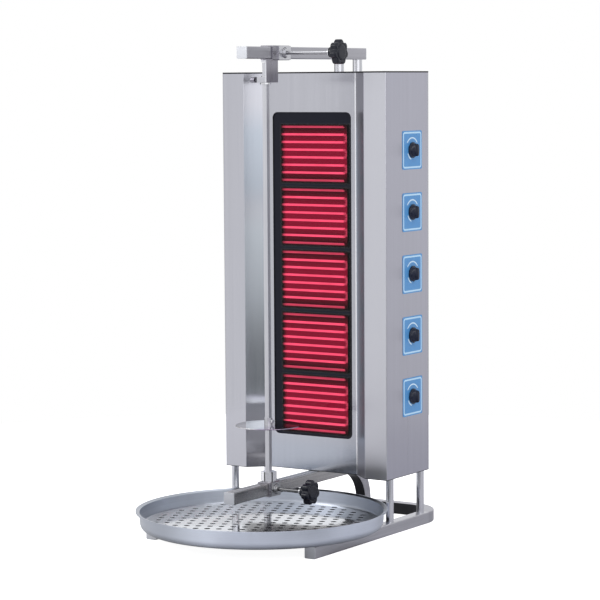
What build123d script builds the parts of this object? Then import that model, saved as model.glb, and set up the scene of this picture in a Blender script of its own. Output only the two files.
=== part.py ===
"""Electric doner kebab grill: a heated cabinet on a tube base, a turning spit held by sliders on two
arms, and a round drip tray. Millimetres, +Z up, +X to the side with the knobs, the front towards -Y.
The origin is on the floor, under the centre of the outline.
"""
from build123d import *
from math import cos, pi, radians, sin
import os

# Stock tube and sheet
TUBE = 30.0                    # square tube of the base and the arms
TUBE_WALL = 2.0
TUBE_CORNER = 2.5
TUBE_INNER_CORNER = 1.0
SHEET = 1.5                    # cabinet sheet
FOLD_RADIUS = 2.5
CAP_THICKNESS = 2.0            # plate welded on a tube's end

# Base
BASE_WIDTH = 504.0             # over the outer faces of the rails
BASE_FRONT_Y = -242.0
BASE_REAR_Y = 411.5
BASE_BEND_RADIUS = 88.0        # rear corners, at the tube's centreline
POST_DIAMETER = 20.0
POST_FRONT_Y = 136.0
POST_REAR_Y = 290.0

# Cabinet
CABINET_DEPTH = 215.0
CABINET_HEIGHT = 1030.0
CABINET_BOTTOM_Z = 140.0
CABINET_FRONT_Y = 106.0
FRONT_FLAT = 65.3              # width of the flat each side of the cheeks
CENTRE_WIDTH = 267.2           # recessed panel between the cheeks
CENTRE_RECESS = 42.0
PLATE_CLEARANCE = 0.6          # bottom plate inside the walls and their mitred front edges
PLATE_CORNER = 4.0
BACK_FLANGE = 8.0              # flange of the back panel, lapped flush into the sides
COVER_WIDTH = 180.0            # rear wiring cover
COVER_DEPTH = 71.0
COVER_FLANGE = 14.0
COVER_BOTTOM_GAP = 6.0

# Window and glass
WINDOW_WIDTH = 238.0
WINDOW_BELOW = 90.4            # panel under the window
WINDOW_ABOVE = 102.6           # panel over the window
WINDOW_CORNER = 15.0
GLASS_LAP = 8.0                # how far the glass reaches past the window, all round
GLASS_THICKNESS = 4.0
GASKET_THICKNESS = 2.0
CLIP_WIDTH = 20.0
CLIP_LEG = 9.0

# Heating zones
ZONES = 5
ZONE_PITCH = 162.0
ZONE_TOP_Z = 961.0             # centre of the top zone
LINES_PER_ZONE = 8
LINE_PITCH = 19.6
LINE_LENGTH = 194.0
RIBBON_WIDTH = 7.0
RIBBON_DEPTH = 3.0
PAN_WIDTH = 214.0
PAN_HEIGHT = 156.0
PAN_DEPTH = 26.0
PAN_WALL = 1.0
PAN_GLASS_GAP = 2.5
BOARD_CLEARANCE = 0.3          # insulation inside its pan
BOARD_RIM = 3.5
BOARD_FLOOR = 17.0             # thickness of insulation behind the ribbons
HEATER_RAIL_X = 80.0
HEATER_RAIL_WIDTH = 24.0
HEATER_RAIL_DEPTH = 16.0
HEATER_RAIL_SHEET = 2.0

# Controls on the right side
KNOB_TOP_Z = 970.8
KNOB_PITCH = 157.4
KNOB_Y_FROM_FRONT = 128.7      # from the cabinet's front
KNOB_DIAMETER = 40.0
KNOB_SKIRT = 4.0
KNOB_BODY_DIAMETER = 34.0
KNOB_BODY_TOP = 30.0
KNOB_BODY_HEIGHT = 7.0
KNOB_HEIGHT = 18.0
GRIP_WIDTH = 8.0
GRIP_INSET = 0.5               # end of the grip from the knob's round body
GRIP_EDGE = 1.2
KNOB_GAP = 0.6                 # between a knob and its label
LABEL_SIZE = 98.0
LABEL_THICKNESS = 0.8
LABEL_CORNER = 5.0
SHAFT_DIAMETER = 6.0
SHAFT_FLAT = 4.6
SHAFT_IN_KNOB = 13.0
SHAFT_HOLE = 10.0
REGULATOR_DEPTH = 42.0
REGULATOR_SIDE = 34.0
REGULATOR_BUSH = 9.0
REGULATOR_FLOOR = 1.5          # closed end behind the shaft's bore
SHAFT_END_GAP = 0.5

# Lower arm
ARM_TOP_Z = 140.0
LOWER_ARM_FRONT_Y = -239.0
LOWER_BEND_RADIUS = 95.0

# Upper arm
UPPER_ARM_RISE = 32.0          # over the cabinet's top
UPPER_ARM_FRONT_Y = -166.5
UPPER_ARM_REAR_Y = 396.0
UPPER_POST_DIAMETER = 25.0
UPPER_POST_FRONT_Y = 284.0
UPPER_POST_REAR_Y = 375.5
MOUNT_PLATE_WIDTH = 80.0
MOUNT_PLATE_THICKNESS = 4.0
MOUNT_PLATE_MARGIN = 10.0      # plate beyond a post's edge
BOLT_DIAMETER = 8.0
BOLT_HEAD_FLATS = 13.0
BOLT_HEAD = 5.3
BOLT_IN_POST = 18.0
MOUNT_PLATE_GAP = 0.5          # to the rear cover

# Spit and its parts
SPIT_Y = -61.5
SPIT_SIDE = 12.0
SPIT_TURN = 0.0                # how the square lies at rest, about Z
SPIT_TOP_GAP = 1.0             # under the holder's top plate
DISC_DIAMETER = 166.0
DISC_THICKNESS = 2.5
DISC_BOTTOM_Z = 284.0
HUB_DIAMETER = 20.0
HUB_HEIGHT = 18.0
HUB_CLEARANCE = 0.2            # square bores on the spit, each side
HUB_SCREW = 5.0
HUB_SCREW_HEAD = 9.0
HUB_SCREW_HEAD_LENGTH = 4.0
HUB_SCREW_GAP = 0.1            # tip to the spit's clearance, and head to the hub
DISC_EDGE = 1.0
SOCKET_FLATS = 35.0
SOCKET_HEIGHT = 24.0
SOCKET_RECESS = 12.0
SOCKET_TURN = 0.0
PIVOT_DIAMETER = 14.0
PIVOT_HEIGHT = 9.5
RUNNING_FIT = 0.05             # radial clearance of turning fits
THRUST_WASHER = 1.5
THRUST_WASHER_DIAMETER = 34.0
WASHER_CLEARANCE = 0.1

# Sliders
SLIDE_CLEARANCE = 0.3          # sleeve on its arm, each side
SLEEVE_WALL = 3.0
LOWER_SLEEVE_LENGTH = 48.5
UPPER_SLEEVE_LENGTH = 76.0
UPPER_SLEEVE_FRONT_Y = -56.0
PLATE_THICKNESS = 4.0
PLATE_HEIGHT = 34.5
LOWER_PLATE_LENGTH = 39.0
UPPER_PLATE_LENGTH = 53.0
LOWER_PLATE_INSET = 4.0        # rear edge of a plate from the sleeve's rear end
UPPER_PLATE_INSET = 0.6
SLEEVE_CORNER = 2.0
NUT_DIAMETER = 21.0
NUT_THICKNESS = 8.0

# Clamp screws and star knobs
SCREW_DIAMETER = 10.0
PAD_DIAMETER = 9.4
PAD_GAP = 0.02                 # pad to the arm at rest
PAD_THICKNESS = 2.0
UPPER_KNOB_X = 170.0           # inner face of the lobed part
LOWER_KNOB_X = 113.0
STAR_DIAMETER = 63.0
STAR_VALLEY = 52.0
STAR_LOBES = 7
STAR_LOBE_DIAMETER = 17.6
STAR_EDGE = 2.5
STAR_THICKNESS = 21.0
STAR_HUB_DIAMETER = 27.0
STAR_HUB_LENGTH = 10.0
STAR_BORE_DEPTH = 14.0
COLLAR_DIAMETER = 16.0
COLLAR_LENGTH = 11.0
COLLAR_EDGE = 2.0

# Spit holder
HOLDER_SHEET = 5.0
HOLDER_RIGHT_X = 17.0          # outer face of the hanging plate
HOLDER_FRONT_Y = -83.0
HOLDER_DEPTH = 51.5
HOLDER_HEIGHT = 55.2
BEARING_LEFT_X = -16.5
BEARING_HEIGHT = 14.0
BEARING_FRONT_INSET = 1.5
JOURNAL_DIAMETER = 22.0        # bearing collar on the spit
JOURNAL_ABOVE = 2.5
JOURNAL_FLANGE_DIAMETER = 28.0
JOURNAL_FLANGE = 4.2
JOURNAL_FLANGE_GAP = 0.3
LOCK_PIN_DIAMETER = 5.0
LOCK_PIN_GAP = 0.3             # tip to journal at rest
LOCK_HOLE_DEPTH = 3.8
LOCK_HOLE_CLEARANCE = 0.3
LOCK_HOLES = 4
LOCK_HOUSING_FLATS = 11.0
LOCK_HOUSING_LENGTH = 9.0
LOCK_NECK = 5.0
LOCK_KNOB_DIAMETER = 14.0
LOCK_KNOB_LENGTH = 13.0
LOCK_KNOB_EDGE = 1.5

# Drip tray
TRAY_DIAMETER = 633.0
TRAY_HEIGHT = 48.5
TRAY_POST_GAP = 4.45           # rim to the front posts
TRAY_SHEET = 1.5
TRAY_LIP = 10.6                # how far the lip stands out past the wall's foot
TRAY_TAPER = 2.0               # how much the wall leans out, from the corner to the lip
TRAY_CORNER = 20.0
TRAY_LIP_RISE = 4.0
TRAY_HEM = 3.0                 # height and depth of the rolled edge
INSERT_CLEARANCE = 0.3         # to the tray's rounded corner
INSERT_THICKNESS = 1.5
INSERT_Z = 43.0
INSERT_MARGIN = 14.0           # plain rim outside the holes
HOLE_DIAMETER = 15.0
HOLE_PITCH_ACROSS = 29.6
HOLE_PITCH_ALONG = 33.6
INSERT_TURN = 23.0

# Small parts
SCREW_HEAD_DIAMETER = 8.0
SCREW_HEAD_HEIGHT = 2.2
SCREW_SHANK = 4.0
SCREW_LENGTH = 8.0
SCREW_HEAD_EDGE = 1.2
SCREW_END_MARGIN = 30.0        # first and last screw from the cover's ends
SCREWS_PER_SIDE = 4
TERMINAL_SIZE = (50.0, 20.0, 26.0)
TERMINAL_Z = 260.0
GLAND_X = 50.0
GLAND_DIAMETER = 22.0
GLAND_NUT_FLATS = 27.0
GLAND_BODY = 8.0               # hexagon under the cover
GLAND_LOCKNUT = 5.0
GLAND_THREAD = 6.0
GLAND_BORE = 11.0
GLAND_DROP = 20.0
GLAND_EDGE = 4.0
LOUVRE_LENGTH = 100.0
LOUVRE_HEIGHT = 5.0
LOUVRE_PITCH = 14.0
LOUVRE_MARGIN = 56.0           # first louvre from the cover's ends
LOUVRES = 8
LOOM_DIAMETER = 9.0
LOOM_BEND = 9.0
LOOM_CLEARANCE = 1.0           # in its hole
LOOM_OFFSET = 10.0             # beside the gland's axis
LOOM_RISE = 60.0               # crossing above the terminal block
LOOM_INSIDE = 30.0             # behind the back panel

# Derived places
HALF_BASE = BASE_WIDTH / 2
RAIL_X = HALF_BASE - TUBE / 2
BASE_TANGENT_Y = BASE_REAR_Y - TUBE / 2 - BASE_BEND_RADIUS
HALF_CABINET = RAIL_X + POST_DIAMETER / 2
CABINET_REAR_Y = CABINET_FRONT_Y + CABINET_DEPTH
CABINET_TOP_Z = CABINET_BOTTOM_Z + CABINET_HEIGHT
WINDOW_HEIGHT = CABINET_HEIGHT - WINDOW_BELOW - WINDOW_ABOVE
WINDOW_BOTTOM_Z = CABINET_BOTTOM_Z + WINDOW_BELOW
WALL_TOP_Z = CABINET_TOP_Z - SHEET
CENTRE_Y = CABINET_FRONT_Y + CENTRE_RECESS
CHEEK_X = HALF_CABINET - FRONT_FLAT
HALF_CENTRE = CENTRE_WIDTH / 2
FLANGE_Y = CABINET_REAR_Y - BACK_FLANGE
COVER_REAR_Y = CABINET_REAR_Y + COVER_DEPTH
COVER_BOTTOM_Z = CABINET_BOTTOM_Z + COVER_BOTTOM_GAP
WINDOW_Z = WINDOW_BOTTOM_Z + WINDOW_HEIGHT / 2
GLASS_Y = CENTRE_Y + SHEET + GASKET_THICKNESS
GLASS_BACK_Y = GLASS_Y + GLASS_THICKNESS
PAN_Y = GLASS_BACK_Y + PAN_GLASS_GAP
PAN_BACK_Y = PAN_Y + PAN_DEPTH
BOARD_FRONT_Y = GLASS_BACK_Y + BOARD_CLEARANCE
BOARD_BACK_Y = PAN_BACK_Y - PAN_WALL
BOARD_FLOOR_Y = BOARD_BACK_Y - BOARD_FLOOR
KNOB_Y = CABINET_FRONT_Y + KNOB_Y_FROM_FRONT
LABEL_OUT_X = HALF_CABINET + LABEL_THICKNESS
KNOB_X = LABEL_OUT_X + KNOB_GAP
LOWER_ARM_Z = ARM_TOP_Z - TUBE / 2
UPPER_ARM_BOTTOM_Z = CABINET_TOP_Z + UPPER_ARM_RISE
UPPER_ARM_Z = UPPER_ARM_BOTTOM_Z + TUBE / 2
REAR_MEMBER_Y = BASE_REAR_Y - TUBE / 2
LOWER_BEND_Y = REAR_MEMBER_Y - LOWER_BEND_RADIUS
SLEEVE_HALF = TUBE / 2 + SLIDE_CLEARANCE + SLEEVE_WALL
LOWER_SLEEVE_TOP_Z = LOWER_ARM_Z + SLEEVE_HALF
LOWER_SLEEVE_Y = (SPIT_Y - LOWER_SLEEVE_LENGTH / 2, SPIT_Y + LOWER_SLEEVE_LENGTH / 2)
UPPER_SLEEVE_Y = (UPPER_SLEEVE_FRONT_Y, UPPER_SLEEVE_FRONT_Y + UPPER_SLEEVE_LENGTH)
SOCKET_BOTTOM_Z = LOWER_SLEEVE_TOP_Z + THRUST_WASHER
SOCKET_TOP_Z = SOCKET_BOTTOM_Z + SOCKET_HEIGHT
SPIT_BOTTOM_Z = SOCKET_TOP_Z - SOCKET_RECESS
HOLDER_REAR_Y = HOLDER_FRONT_Y + HOLDER_DEPTH
HOLDER_TOP_Z = UPPER_ARM_Z - SLEEVE_HALF
HOLDER_BOTTOM_Z = HOLDER_TOP_Z - HOLDER_HEIGHT
HOLDER_INNER_X = HOLDER_RIGHT_X - HOLDER_SHEET
SPIT_TOP_Z = HOLDER_TOP_Z - HOLDER_SHEET - SPIT_TOP_GAP
BEARING_TOP_Z = HOLDER_BOTTOM_Z + BEARING_HEIGHT
LOCK_Z = HOLDER_BOTTOM_Z + BEARING_HEIGHT / 2
HUB_BOTTOM_Z = DISC_BOTTOM_Z + DISC_THICKNESS
TRAY_RADIUS = TRAY_DIAMETER / 2
TRAY_WALL_RADIUS = TRAY_RADIUS - TRAY_LIP
TRAY_REACH = TRAY_RADIUS + TRAY_POST_GAP + POST_DIAMETER / 2
TRAY_Y = POST_FRONT_Y - (TRAY_REACH ** 2 - RAIL_X ** 2) ** 0.5
TRAY_LIP_Z = TUBE + TRAY_HEIGHT
TRAY_FLOOR_RADIUS = TRAY_WALL_RADIUS - TRAY_CORNER
TRAY_CORNER_Z = TUBE + TRAY_CORNER
GLAND_Y = CABINET_REAR_Y + COVER_DEPTH / 2
LOOM_X = GLAND_X + LOOM_OFFSET
LOOM_Z = TERMINAL_Z + LOOM_RISE
LOOM_INSIDE_Y = CABINET_REAR_Y - LOOM_INSIDE
SHAFT_X = HALF_CABINET - SHEET - REGULATOR_DEPTH + REGULATOR_FLOOR + SHAFT_END_GAP

PARTS = {}


def keep(name, *solids):
    """Give one or more separate solids the name of their node."""
    PARTS[name] = solids[0] if len(solids) == 1 else Compound(children=list(solids))


def block(x, y, z):
    """A box between pairs of limits."""
    size = (x[1] - x[0], y[1] - y[0], z[1] - z[0])
    centre = ((x[0] + x[1]) / 2, (y[0] + y[1]) / 2, (z[0] + z[1]) / 2)
    return Pos(*centre) * Box(*size)


def rod(radius, start, axis, length):
    """A round bar from a start point along "X", "Y" or "Z"."""
    turn = {"X": Rot(0, 90, 0), "Y": Rot(-90, 0, 0), "Z": Rot(0, 0, 0)}[axis]
    bar = Cylinder(radius, length, align=(Align.CENTER, Align.CENTER, Align.MIN))
    return Pos(*start) * turn * bar


def square_bar(side, z, turn):
    """An upright square bar on the spit's axis."""
    outline = Pos(0, SPIT_Y, z[0]) * Rot(0, 0, turn) * Rectangle(side, side)
    return extrude(outline, z[1] - z[0])


def hexagon(flats, turn=0.0):
    """A hexagon of a given width across flats, one flat facing +X when turn is 0."""
    return Rot(0, 0, turn + 30) * RegularPolygon(flats / 2, 6, major_radius=False)


def tube_section():
    """The square tube's section, with rounded corners."""
    inside = TUBE - 2 * TUBE_WALL
    outer = RectangleRounded(TUBE, TUBE, TUBE_CORNER)
    return outer - RectangleRounded(inside, inside, TUBE_INNER_CORNER)


def tube_along_y(x, z, y):
    """A straight length of square tube along Y."""
    section = Plane.XZ * tube_section()
    return Pos(x, y[1], z) * extrude(section, y[1] - y[0])


def cap_along_y(x, z, y):
    """A plate that closes the end of a square tube."""
    outline = Plane.XZ * RectangleRounded(TUBE, TUBE, TUBE_CORNER)
    return Pos(x, y + CAP_THICKNESS, z) * extrude(outline, CAP_THICKNESS)


def folded_sheet(points, z, thickness=SHEET, radius=FOLD_RADIUS):
    """Sheet metal that stands up along a folded line, given at the middle of the sheet."""
    path = FilletPolyline(*points, radius=radius)
    return Pos(0, 0, z[0]) * extrude(trace(path, line_width=thickness), z[1] - z[0])


def outline_plate(z, inset=0.0, corner=FOLD_RADIUS):
    """A plate with the cabinet's outline, seen from above."""
    right = [(HALF_CABINET, CABINET_REAR_Y), (HALF_CABINET, CABINET_FRONT_Y),
             (CHEEK_X, CABINET_FRONT_Y), (HALF_CENTRE, CENTRE_Y)]
    left = [(-x, y) for x, y in reversed(right)]
    face = make_face(Polyline(*right, *left, close=True))
    if inset:
        face = offset(face, -inset, kind=Kind.INTERSECTION)
    between = (CHEEK_X + HALF_CENTRE) / 2
    outward = [vertex for vertex in face.vertices() if abs(vertex.X) > between]
    return Pos(0, 0, z[0]) * extrude(fillet(outward, corner), z[1] - z[0])


def on_front(sketch, x, y, z, depth):
    """A sketch set upright, facing the front, and extruded towards the rear."""
    return Pos(x, y + depth, z) * extrude(Plane.XZ * sketch, depth)


def zone_heights(top, pitch):
    """Heights of the five zones or knobs, from the top down."""
    return [top - index * pitch for index in range(ZONES)]


def make_base():
    """Two straight rails, the rear bend between them, and the plates on the tube ends."""
    rail_y = (BASE_FRONT_Y + CAP_THICKNESS, BASE_TANGENT_Y)
    keep("base_rail_left", tube_along_y(-RAIL_X, TUBE / 2, rail_y))
    keep("base_rail_right", tube_along_y(RAIL_X, TUBE / 2, rail_y))
    corner_x = RAIL_X - BASE_BEND_RADIUS
    section = Plane.XZ * tube_section()
    bend = []
    for side in (1, -1):
        axis = Axis((side * corner_x, BASE_TANGENT_Y, 0), (0, 0, 1))
        start = Pos(side * RAIL_X, BASE_TANGENT_Y, TUBE / 2) * section
        bend.append(revolve(start, axis=axis, revolution_arc=side * 90))
    straight = extrude(Plane.YZ * tube_section(), 2 * corner_x)
    bend.append(Pos(-corner_x, REAR_MEMBER_Y, TUBE / 2) * straight)
    keep("base_rear_bend", bend[0] + bend[1] + bend[2])
    for name, y in (("cabinet_posts_front", POST_FRONT_Y), ("cabinet_posts_rear", POST_REAR_Y)):
        height = CABINET_BOTTOM_Z - TUBE
        keep(name, *[rod(POST_DIAMETER / 2, (x, y, TUBE), "Z", height) for x in (-RAIL_X, RAIL_X)])
    keep("tube_end_plates",
         cap_along_y(-RAIL_X, TUBE / 2, BASE_FRONT_Y),
         cap_along_y(RAIL_X, TUBE / 2, BASE_FRONT_Y),
         cap_along_y(0, LOWER_ARM_Z, LOWER_ARM_FRONT_Y),
         cap_along_y(0, UPPER_ARM_Z, UPPER_ARM_FRONT_Y),
         cap_along_y(0, UPPER_ARM_Z, UPPER_ARM_REAR_Y - CAP_THICKNESS))


def make_arms():
    """The lower arm with its bend down to the base, and the upper arm on its two posts."""
    keep("lower_arm", tube_along_y(0, LOWER_ARM_Z, (LOWER_ARM_FRONT_Y + CAP_THICKNESS, LOWER_BEND_Y)))
    start = Pos(0, LOWER_BEND_Y, LOWER_ARM_Z) * (Plane.XZ * tube_section())
    axis = Axis((0, LOWER_BEND_Y, LOWER_ARM_Z - LOWER_BEND_RADIUS), (1, 0, 0))
    keep("lower_arm_bend", revolve(start, axis=axis, revolution_arc=-90))
    arm_y = (UPPER_ARM_FRONT_Y + CAP_THICKNESS, UPPER_ARM_REAR_Y - CAP_THICKNESS)
    keep("upper_arm", tube_along_y(0, UPPER_ARM_Z, arm_y))
    height = UPPER_ARM_BOTTOM_Z - CABINET_TOP_Z
    for name, y in (("upper_post_front", UPPER_POST_FRONT_Y), ("upper_post_rear", UPPER_POST_REAR_Y)):
        post = rod(UPPER_POST_DIAMETER / 2, (0, y, CABINET_TOP_Z), "Z", height)
        bore = rod(BOLT_DIAMETER / 2, (0, y, CABINET_TOP_Z), "Z", BOLT_IN_POST)
        keep(name, post - bore)


def make_arm_mounting():
    """The plate under the top covers that takes both posts' bolts."""
    reach = UPPER_POST_DIAMETER / 2 + MOUNT_PLATE_MARGIN
    rear = COVER_REAR_Y - SHEET - MOUNT_PLATE_GAP
    plate_z = (WALL_TOP_Z - MOUNT_PLATE_THICKNESS, WALL_TOP_Z)
    half = MOUNT_PLATE_WIDTH / 2
    plate = block((-half, half), (UPPER_POST_FRONT_Y - reach, rear), plate_z)
    bolts = []
    for y in (UPPER_POST_FRONT_Y, UPPER_POST_REAR_Y):
        plate -= rod(BOLT_DIAMETER / 2, (0, y, plate_z[0]), "Z", MOUNT_PLATE_THICKNESS)
        length = CABINET_TOP_Z + BOLT_IN_POST - plate_z[0]
        shank = rod(BOLT_DIAMETER / 2, (0, y, plate_z[0]), "Z", length)
        head = Pos(0, y, plate_z[0] - BOLT_HEAD) * extrude(hexagon(BOLT_HEAD_FLATS), BOLT_HEAD)
        bolts.append(shank + head)
    keep("arm_mount_plate", plate)
    keep("arm_bolts", *bolts)


def make_shells():
    """Left and right shells: side, front flat and cheek folded from one sheet each."""
    mid = SHEET / 2
    side_x, front_y = HALF_CABINET - mid, CABINET_FRONT_Y + mid
    cheek = Vector(HALF_CENTRE - CHEEK_X, CENTRE_RECESS, 0)
    to_middle = Vector(CENTRE_RECESS, CHEEK_X - HALF_CENTRE, 0).normalized() * mid
    fold_x = CHEEK_X + mid * (cheek.length + cheek.X) / CENTRE_RECESS
    beyond = Vector(HALF_CENTRE, CENTRE_Y, 0) + to_middle + cheek.normalized() * 2 * SHEET
    points = [(side_x, FLANGE_Y), (side_x, front_y), (fold_x, front_y), (beyond.X, beyond.Y)]
    sheet = folded_sheet(points, (CABINET_BOTTOM_Z, WALL_TOP_Z))
    sheet -= block((0, HALF_CENTRE), (CABINET_FRONT_Y, CABINET_REAR_Y), (0, CABINET_TOP_Z))
    right = sheet
    for z in zone_heights(KNOB_TOP_Z, KNOB_PITCH):
        start = (HALF_CABINET - 2 * SHEET, KNOB_Y, z)
        right -= rod(SHAFT_HOLE / 2, start, "X", 3 * SHEET)
    keep("side_shell_left", mirror(sheet, Plane.YZ))
    keep("side_shell_right", right)


def make_panels():
    """Centre panel with the window, covers, bottom plate and back panel."""
    height = WALL_TOP_Z - CABINET_BOTTOM_Z
    middle = CABINET_BOTTOM_Z + height / 2
    panel = on_front(Rectangle(CENTRE_WIDTH, height), 0, CENTRE_Y, middle, SHEET)
    window = RectangleRounded(WINDOW_WIDTH, WINDOW_HEIGHT, WINDOW_CORNER)
    keep("centre_panel", panel - on_front(window, 0, CENTRE_Y, WINDOW_Z, SHEET))
    top = outline_plate((WALL_TOP_Z, CABINET_TOP_Z))
    top -= rod(BOLT_DIAMETER / 2, (0, UPPER_POST_FRONT_Y, WALL_TOP_Z), "Z", SHEET)
    keep("top_cover", top)
    inner = SHEET + PLATE_CLEARANCE
    bottom_z = (CABINET_BOTTOM_Z, CABINET_BOTTOM_Z + SHEET)
    keep("bottom_plate", outline_plate(bottom_z, inner, PLATE_CORNER))
    mid = SHEET / 2
    side_x, rear_y = HALF_CABINET - mid, CABINET_REAR_Y - mid
    points = [(side_x, FLANGE_Y), (side_x, rear_y), (-side_x, rear_y), (-side_x, FLANGE_Y)]
    back = folded_sheet(points, (CABINET_BOTTOM_Z, WALL_TOP_Z))
    half = MOUNT_PLATE_WIDTH / 2
    notch_z = (WALL_TOP_Z - MOUNT_PLATE_THICKNESS, WALL_TOP_Z)
    back -= block((-half, half), (FLANGE_Y, CABINET_REAR_Y), notch_z)
    back -= loom_hole()
    keep("back_panel", back)


def loom_hole():
    """The grommet hole that the wiring passes through."""
    start = (LOOM_X, CABINET_REAR_Y - 2 * SHEET, LOOM_Z)
    return rod(LOOM_DIAMETER / 2 + LOOM_CLEARANCE, start, "Y", 3 * SHEET)


def make_rear_cover():
    """The folded cover over the wiring space, with louvres and a gland hole."""
    mid = SHEET / 2
    half = COVER_WIDTH / 2
    y0, y1 = CABINET_REAR_Y + mid, COVER_REAR_Y - mid
    side = half - mid
    points = [(half + COVER_FLANGE, y0), (side, y0), (side, y1),
              (-side, y1), (-side, y0), (-half - COVER_FLANGE, y0)]
    cover = folded_sheet(points, (COVER_BOTTOM_Z, CABINET_TOP_Z))
    inside = ((-side, side), (CABINET_REAR_Y, y1))
    cover += block(*inside, (COVER_BOTTOM_Z, COVER_BOTTOM_Z + SHEET))
    cover += block(*inside, (WALL_TOP_Z, CABINET_TOP_Z))
    cover -= rod(BOLT_DIAMETER / 2, (0, UPPER_POST_REAR_Y, WALL_TOP_Z), "Z", SHEET)
    cover -= rod(GLAND_DIAMETER / 2, (GLAND_X, GLAND_Y, COVER_BOTTOM_Z), "Z", SHEET)
    slot = SlotOverall(LOUVRE_LENGTH, LOUVRE_HEIGHT)
    group = (LOUVRES - 1) * LOUVRE_PITCH
    for base in (COVER_BOTTOM_Z + LOUVRE_MARGIN, CABINET_TOP_Z - LOUVRE_MARGIN - group):
        for index in range(LOUVRES):
            cover -= on_front(slot, 0, y1 - mid, base + index * LOUVRE_PITCH, SHEET)
    for x, z in cover_screw_places():
        cover -= rod(SCREW_SHANK / 2, (x, CABINET_REAR_Y, z), "Y", SHEET)
    keep("rear_cover", cover)


def cover_screw_places():
    """Where the rear cover's screws sit, in a row down each flange."""
    x = (COVER_WIDTH + COVER_FLANGE) / 2
    first = COVER_BOTTOM_Z + SCREW_END_MARGIN
    pitch = (CABINET_TOP_Z - SCREW_END_MARGIN - first) / (SCREWS_PER_SIDE - 1)
    return [(side * x, first + pitch * index) for side in (-1, 1) for index in range(SCREWS_PER_SIDE)]


def make_cover_screws():
    """Pan-head screws through the rear cover's flanges into the back panel."""
    face = CABINET_REAR_Y + SHEET
    screws = []
    for x, z in cover_screw_places():
        shank = rod(SCREW_SHANK / 2, (x, face - SCREW_LENGTH, z), "Y", SCREW_LENGTH)
        head = rod(SCREW_HEAD_DIAMETER / 2, (x, face, z), "Y", SCREW_HEAD_HEIGHT)
        head = fillet(head.edges().filter_by(GeomType.CIRCLE).sort_by(Axis.Y)[-1], SCREW_HEAD_EDGE)
        screws.append(shank + head)
        PARTS["back_panel"] -= rod(SCREW_SHANK / 2, (x, CABINET_REAR_Y - SHEET, z), "Y", SHEET)
    keep("cover_screws", *screws)


def make_window():
    """Glass ceramic, the gasket it is pressed against, and the clips that hold it."""
    wide, high = WINDOW_WIDTH + 2 * GLASS_LAP, WINDOW_HEIGHT + 2 * GLASS_LAP
    window = RectangleRounded(WINDOW_WIDTH, WINDOW_HEIGHT, WINDOW_CORNER)
    pane = RectangleRounded(wide, high, WINDOW_CORNER)
    keep("glass_panel", on_front(pane, 0, GLASS_Y, WINDOW_Z, GLASS_THICKNESS))
    gasket_y = CENTRE_Y + SHEET
    keep("glass_gasket", on_front(pane - window, 0, gasket_y, WINDOW_Z, GASKET_THICKNESS))
    edge_z, clips = high / 2, []
    back = GLASS_BACK_Y + SHEET
    for x in (-wide / 3, 0, wide / 3):
        for side in (-1, 1):
            near, far = WINDOW_Z + side * edge_z, WINDOW_Z + side * (edge_z + CLIP_LEG)
            inner = near - side * 0.5 * GLASS_LAP
            limits = (x - CLIP_WIDTH / 2, x + CLIP_WIDTH / 2)
            leg = block(limits, (gasket_y, back), sorted((far, far - side * SHEET)))
            web = block(limits, (GLASS_BACK_Y, back), sorted((inner, far)))
            clips.append(leg + web)
    keep("glass_clips", *clips)


def ribbon_path():
    """The serpentine of one zone: eight lines, joined at alternate ends."""
    half = LINE_LENGTH / 2
    top = (LINES_PER_ZONE - 1) * LINE_PITCH / 2
    points = []
    for line in range(LINES_PER_ZONE):
        z = top - line * LINE_PITCH
        ends = [(half, z), (-half, z)]
        points += ends if line % 2 == 0 else ends[::-1]
    return FilletPolyline(*points, radius=LINE_PITCH * 0.45)


def make_heaters():
    """Five steel pans with their insulation boards and ribbons, and the rails behind them."""
    pans, boards, ribbons = [], [], []
    half_w, half_h = PAN_WIDTH / 2, PAN_HEIGHT / 2
    side = PAN_WALL + BOARD_CLEARANCE
    board_w, board_h = half_w - side, half_h - side
    well_w, well_h = board_w - BOARD_RIM, board_h - BOARD_RIM
    line = on_front(trace(ribbon_path(), line_width=RIBBON_WIDTH), 0,
                    BOARD_FLOOR_Y - RIBBON_DEPTH, 0, RIBBON_DEPTH)
    for z in zone_heights(ZONE_TOP_Z, ZONE_PITCH):
        pan = block((-half_w, half_w), (PAN_Y, PAN_BACK_Y), (z - half_h, z + half_h))
        wall = PAN_WALL
        pan -= block((-half_w + wall, half_w - wall), (PAN_Y, PAN_BACK_Y - wall),
                     (z - half_h + wall, z + half_h - wall))
        board = block((-board_w, board_w), (BOARD_FRONT_Y, BOARD_BACK_Y), (z - board_h, z + board_h))
        board -= block((-well_w, well_w), (BOARD_FRONT_Y, BOARD_FLOOR_Y), (z - well_h, z + well_h))
        pans.append(pan)
        boards.append(board)
        ribbons.append(Pos(0, 0, z) * line)
    keep("heater_pans", *pans)
    keep("heater_insulation", *boards)
    keep("heating_ribbons", *ribbons)
    rails = []
    for x in (-HEATER_RAIL_X, HEATER_RAIL_X):
        inner = HEATER_RAIL_WIDTH / 2 - HEATER_RAIL_SHEET / 2
        front = PAN_BACK_Y + HEATER_RAIL_SHEET / 2
        back = PAN_BACK_Y + HEATER_RAIL_DEPTH
        points = [(x - inner, back), (x - inner, front), (x + inner, front), (x + inner, back)]
        rails.append(folded_sheet(points, (CABINET_BOTTOM_Z + SHEET, WALL_TOP_Z), HEATER_RAIL_SHEET))
    keep("heater_rails", *rails)


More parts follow.
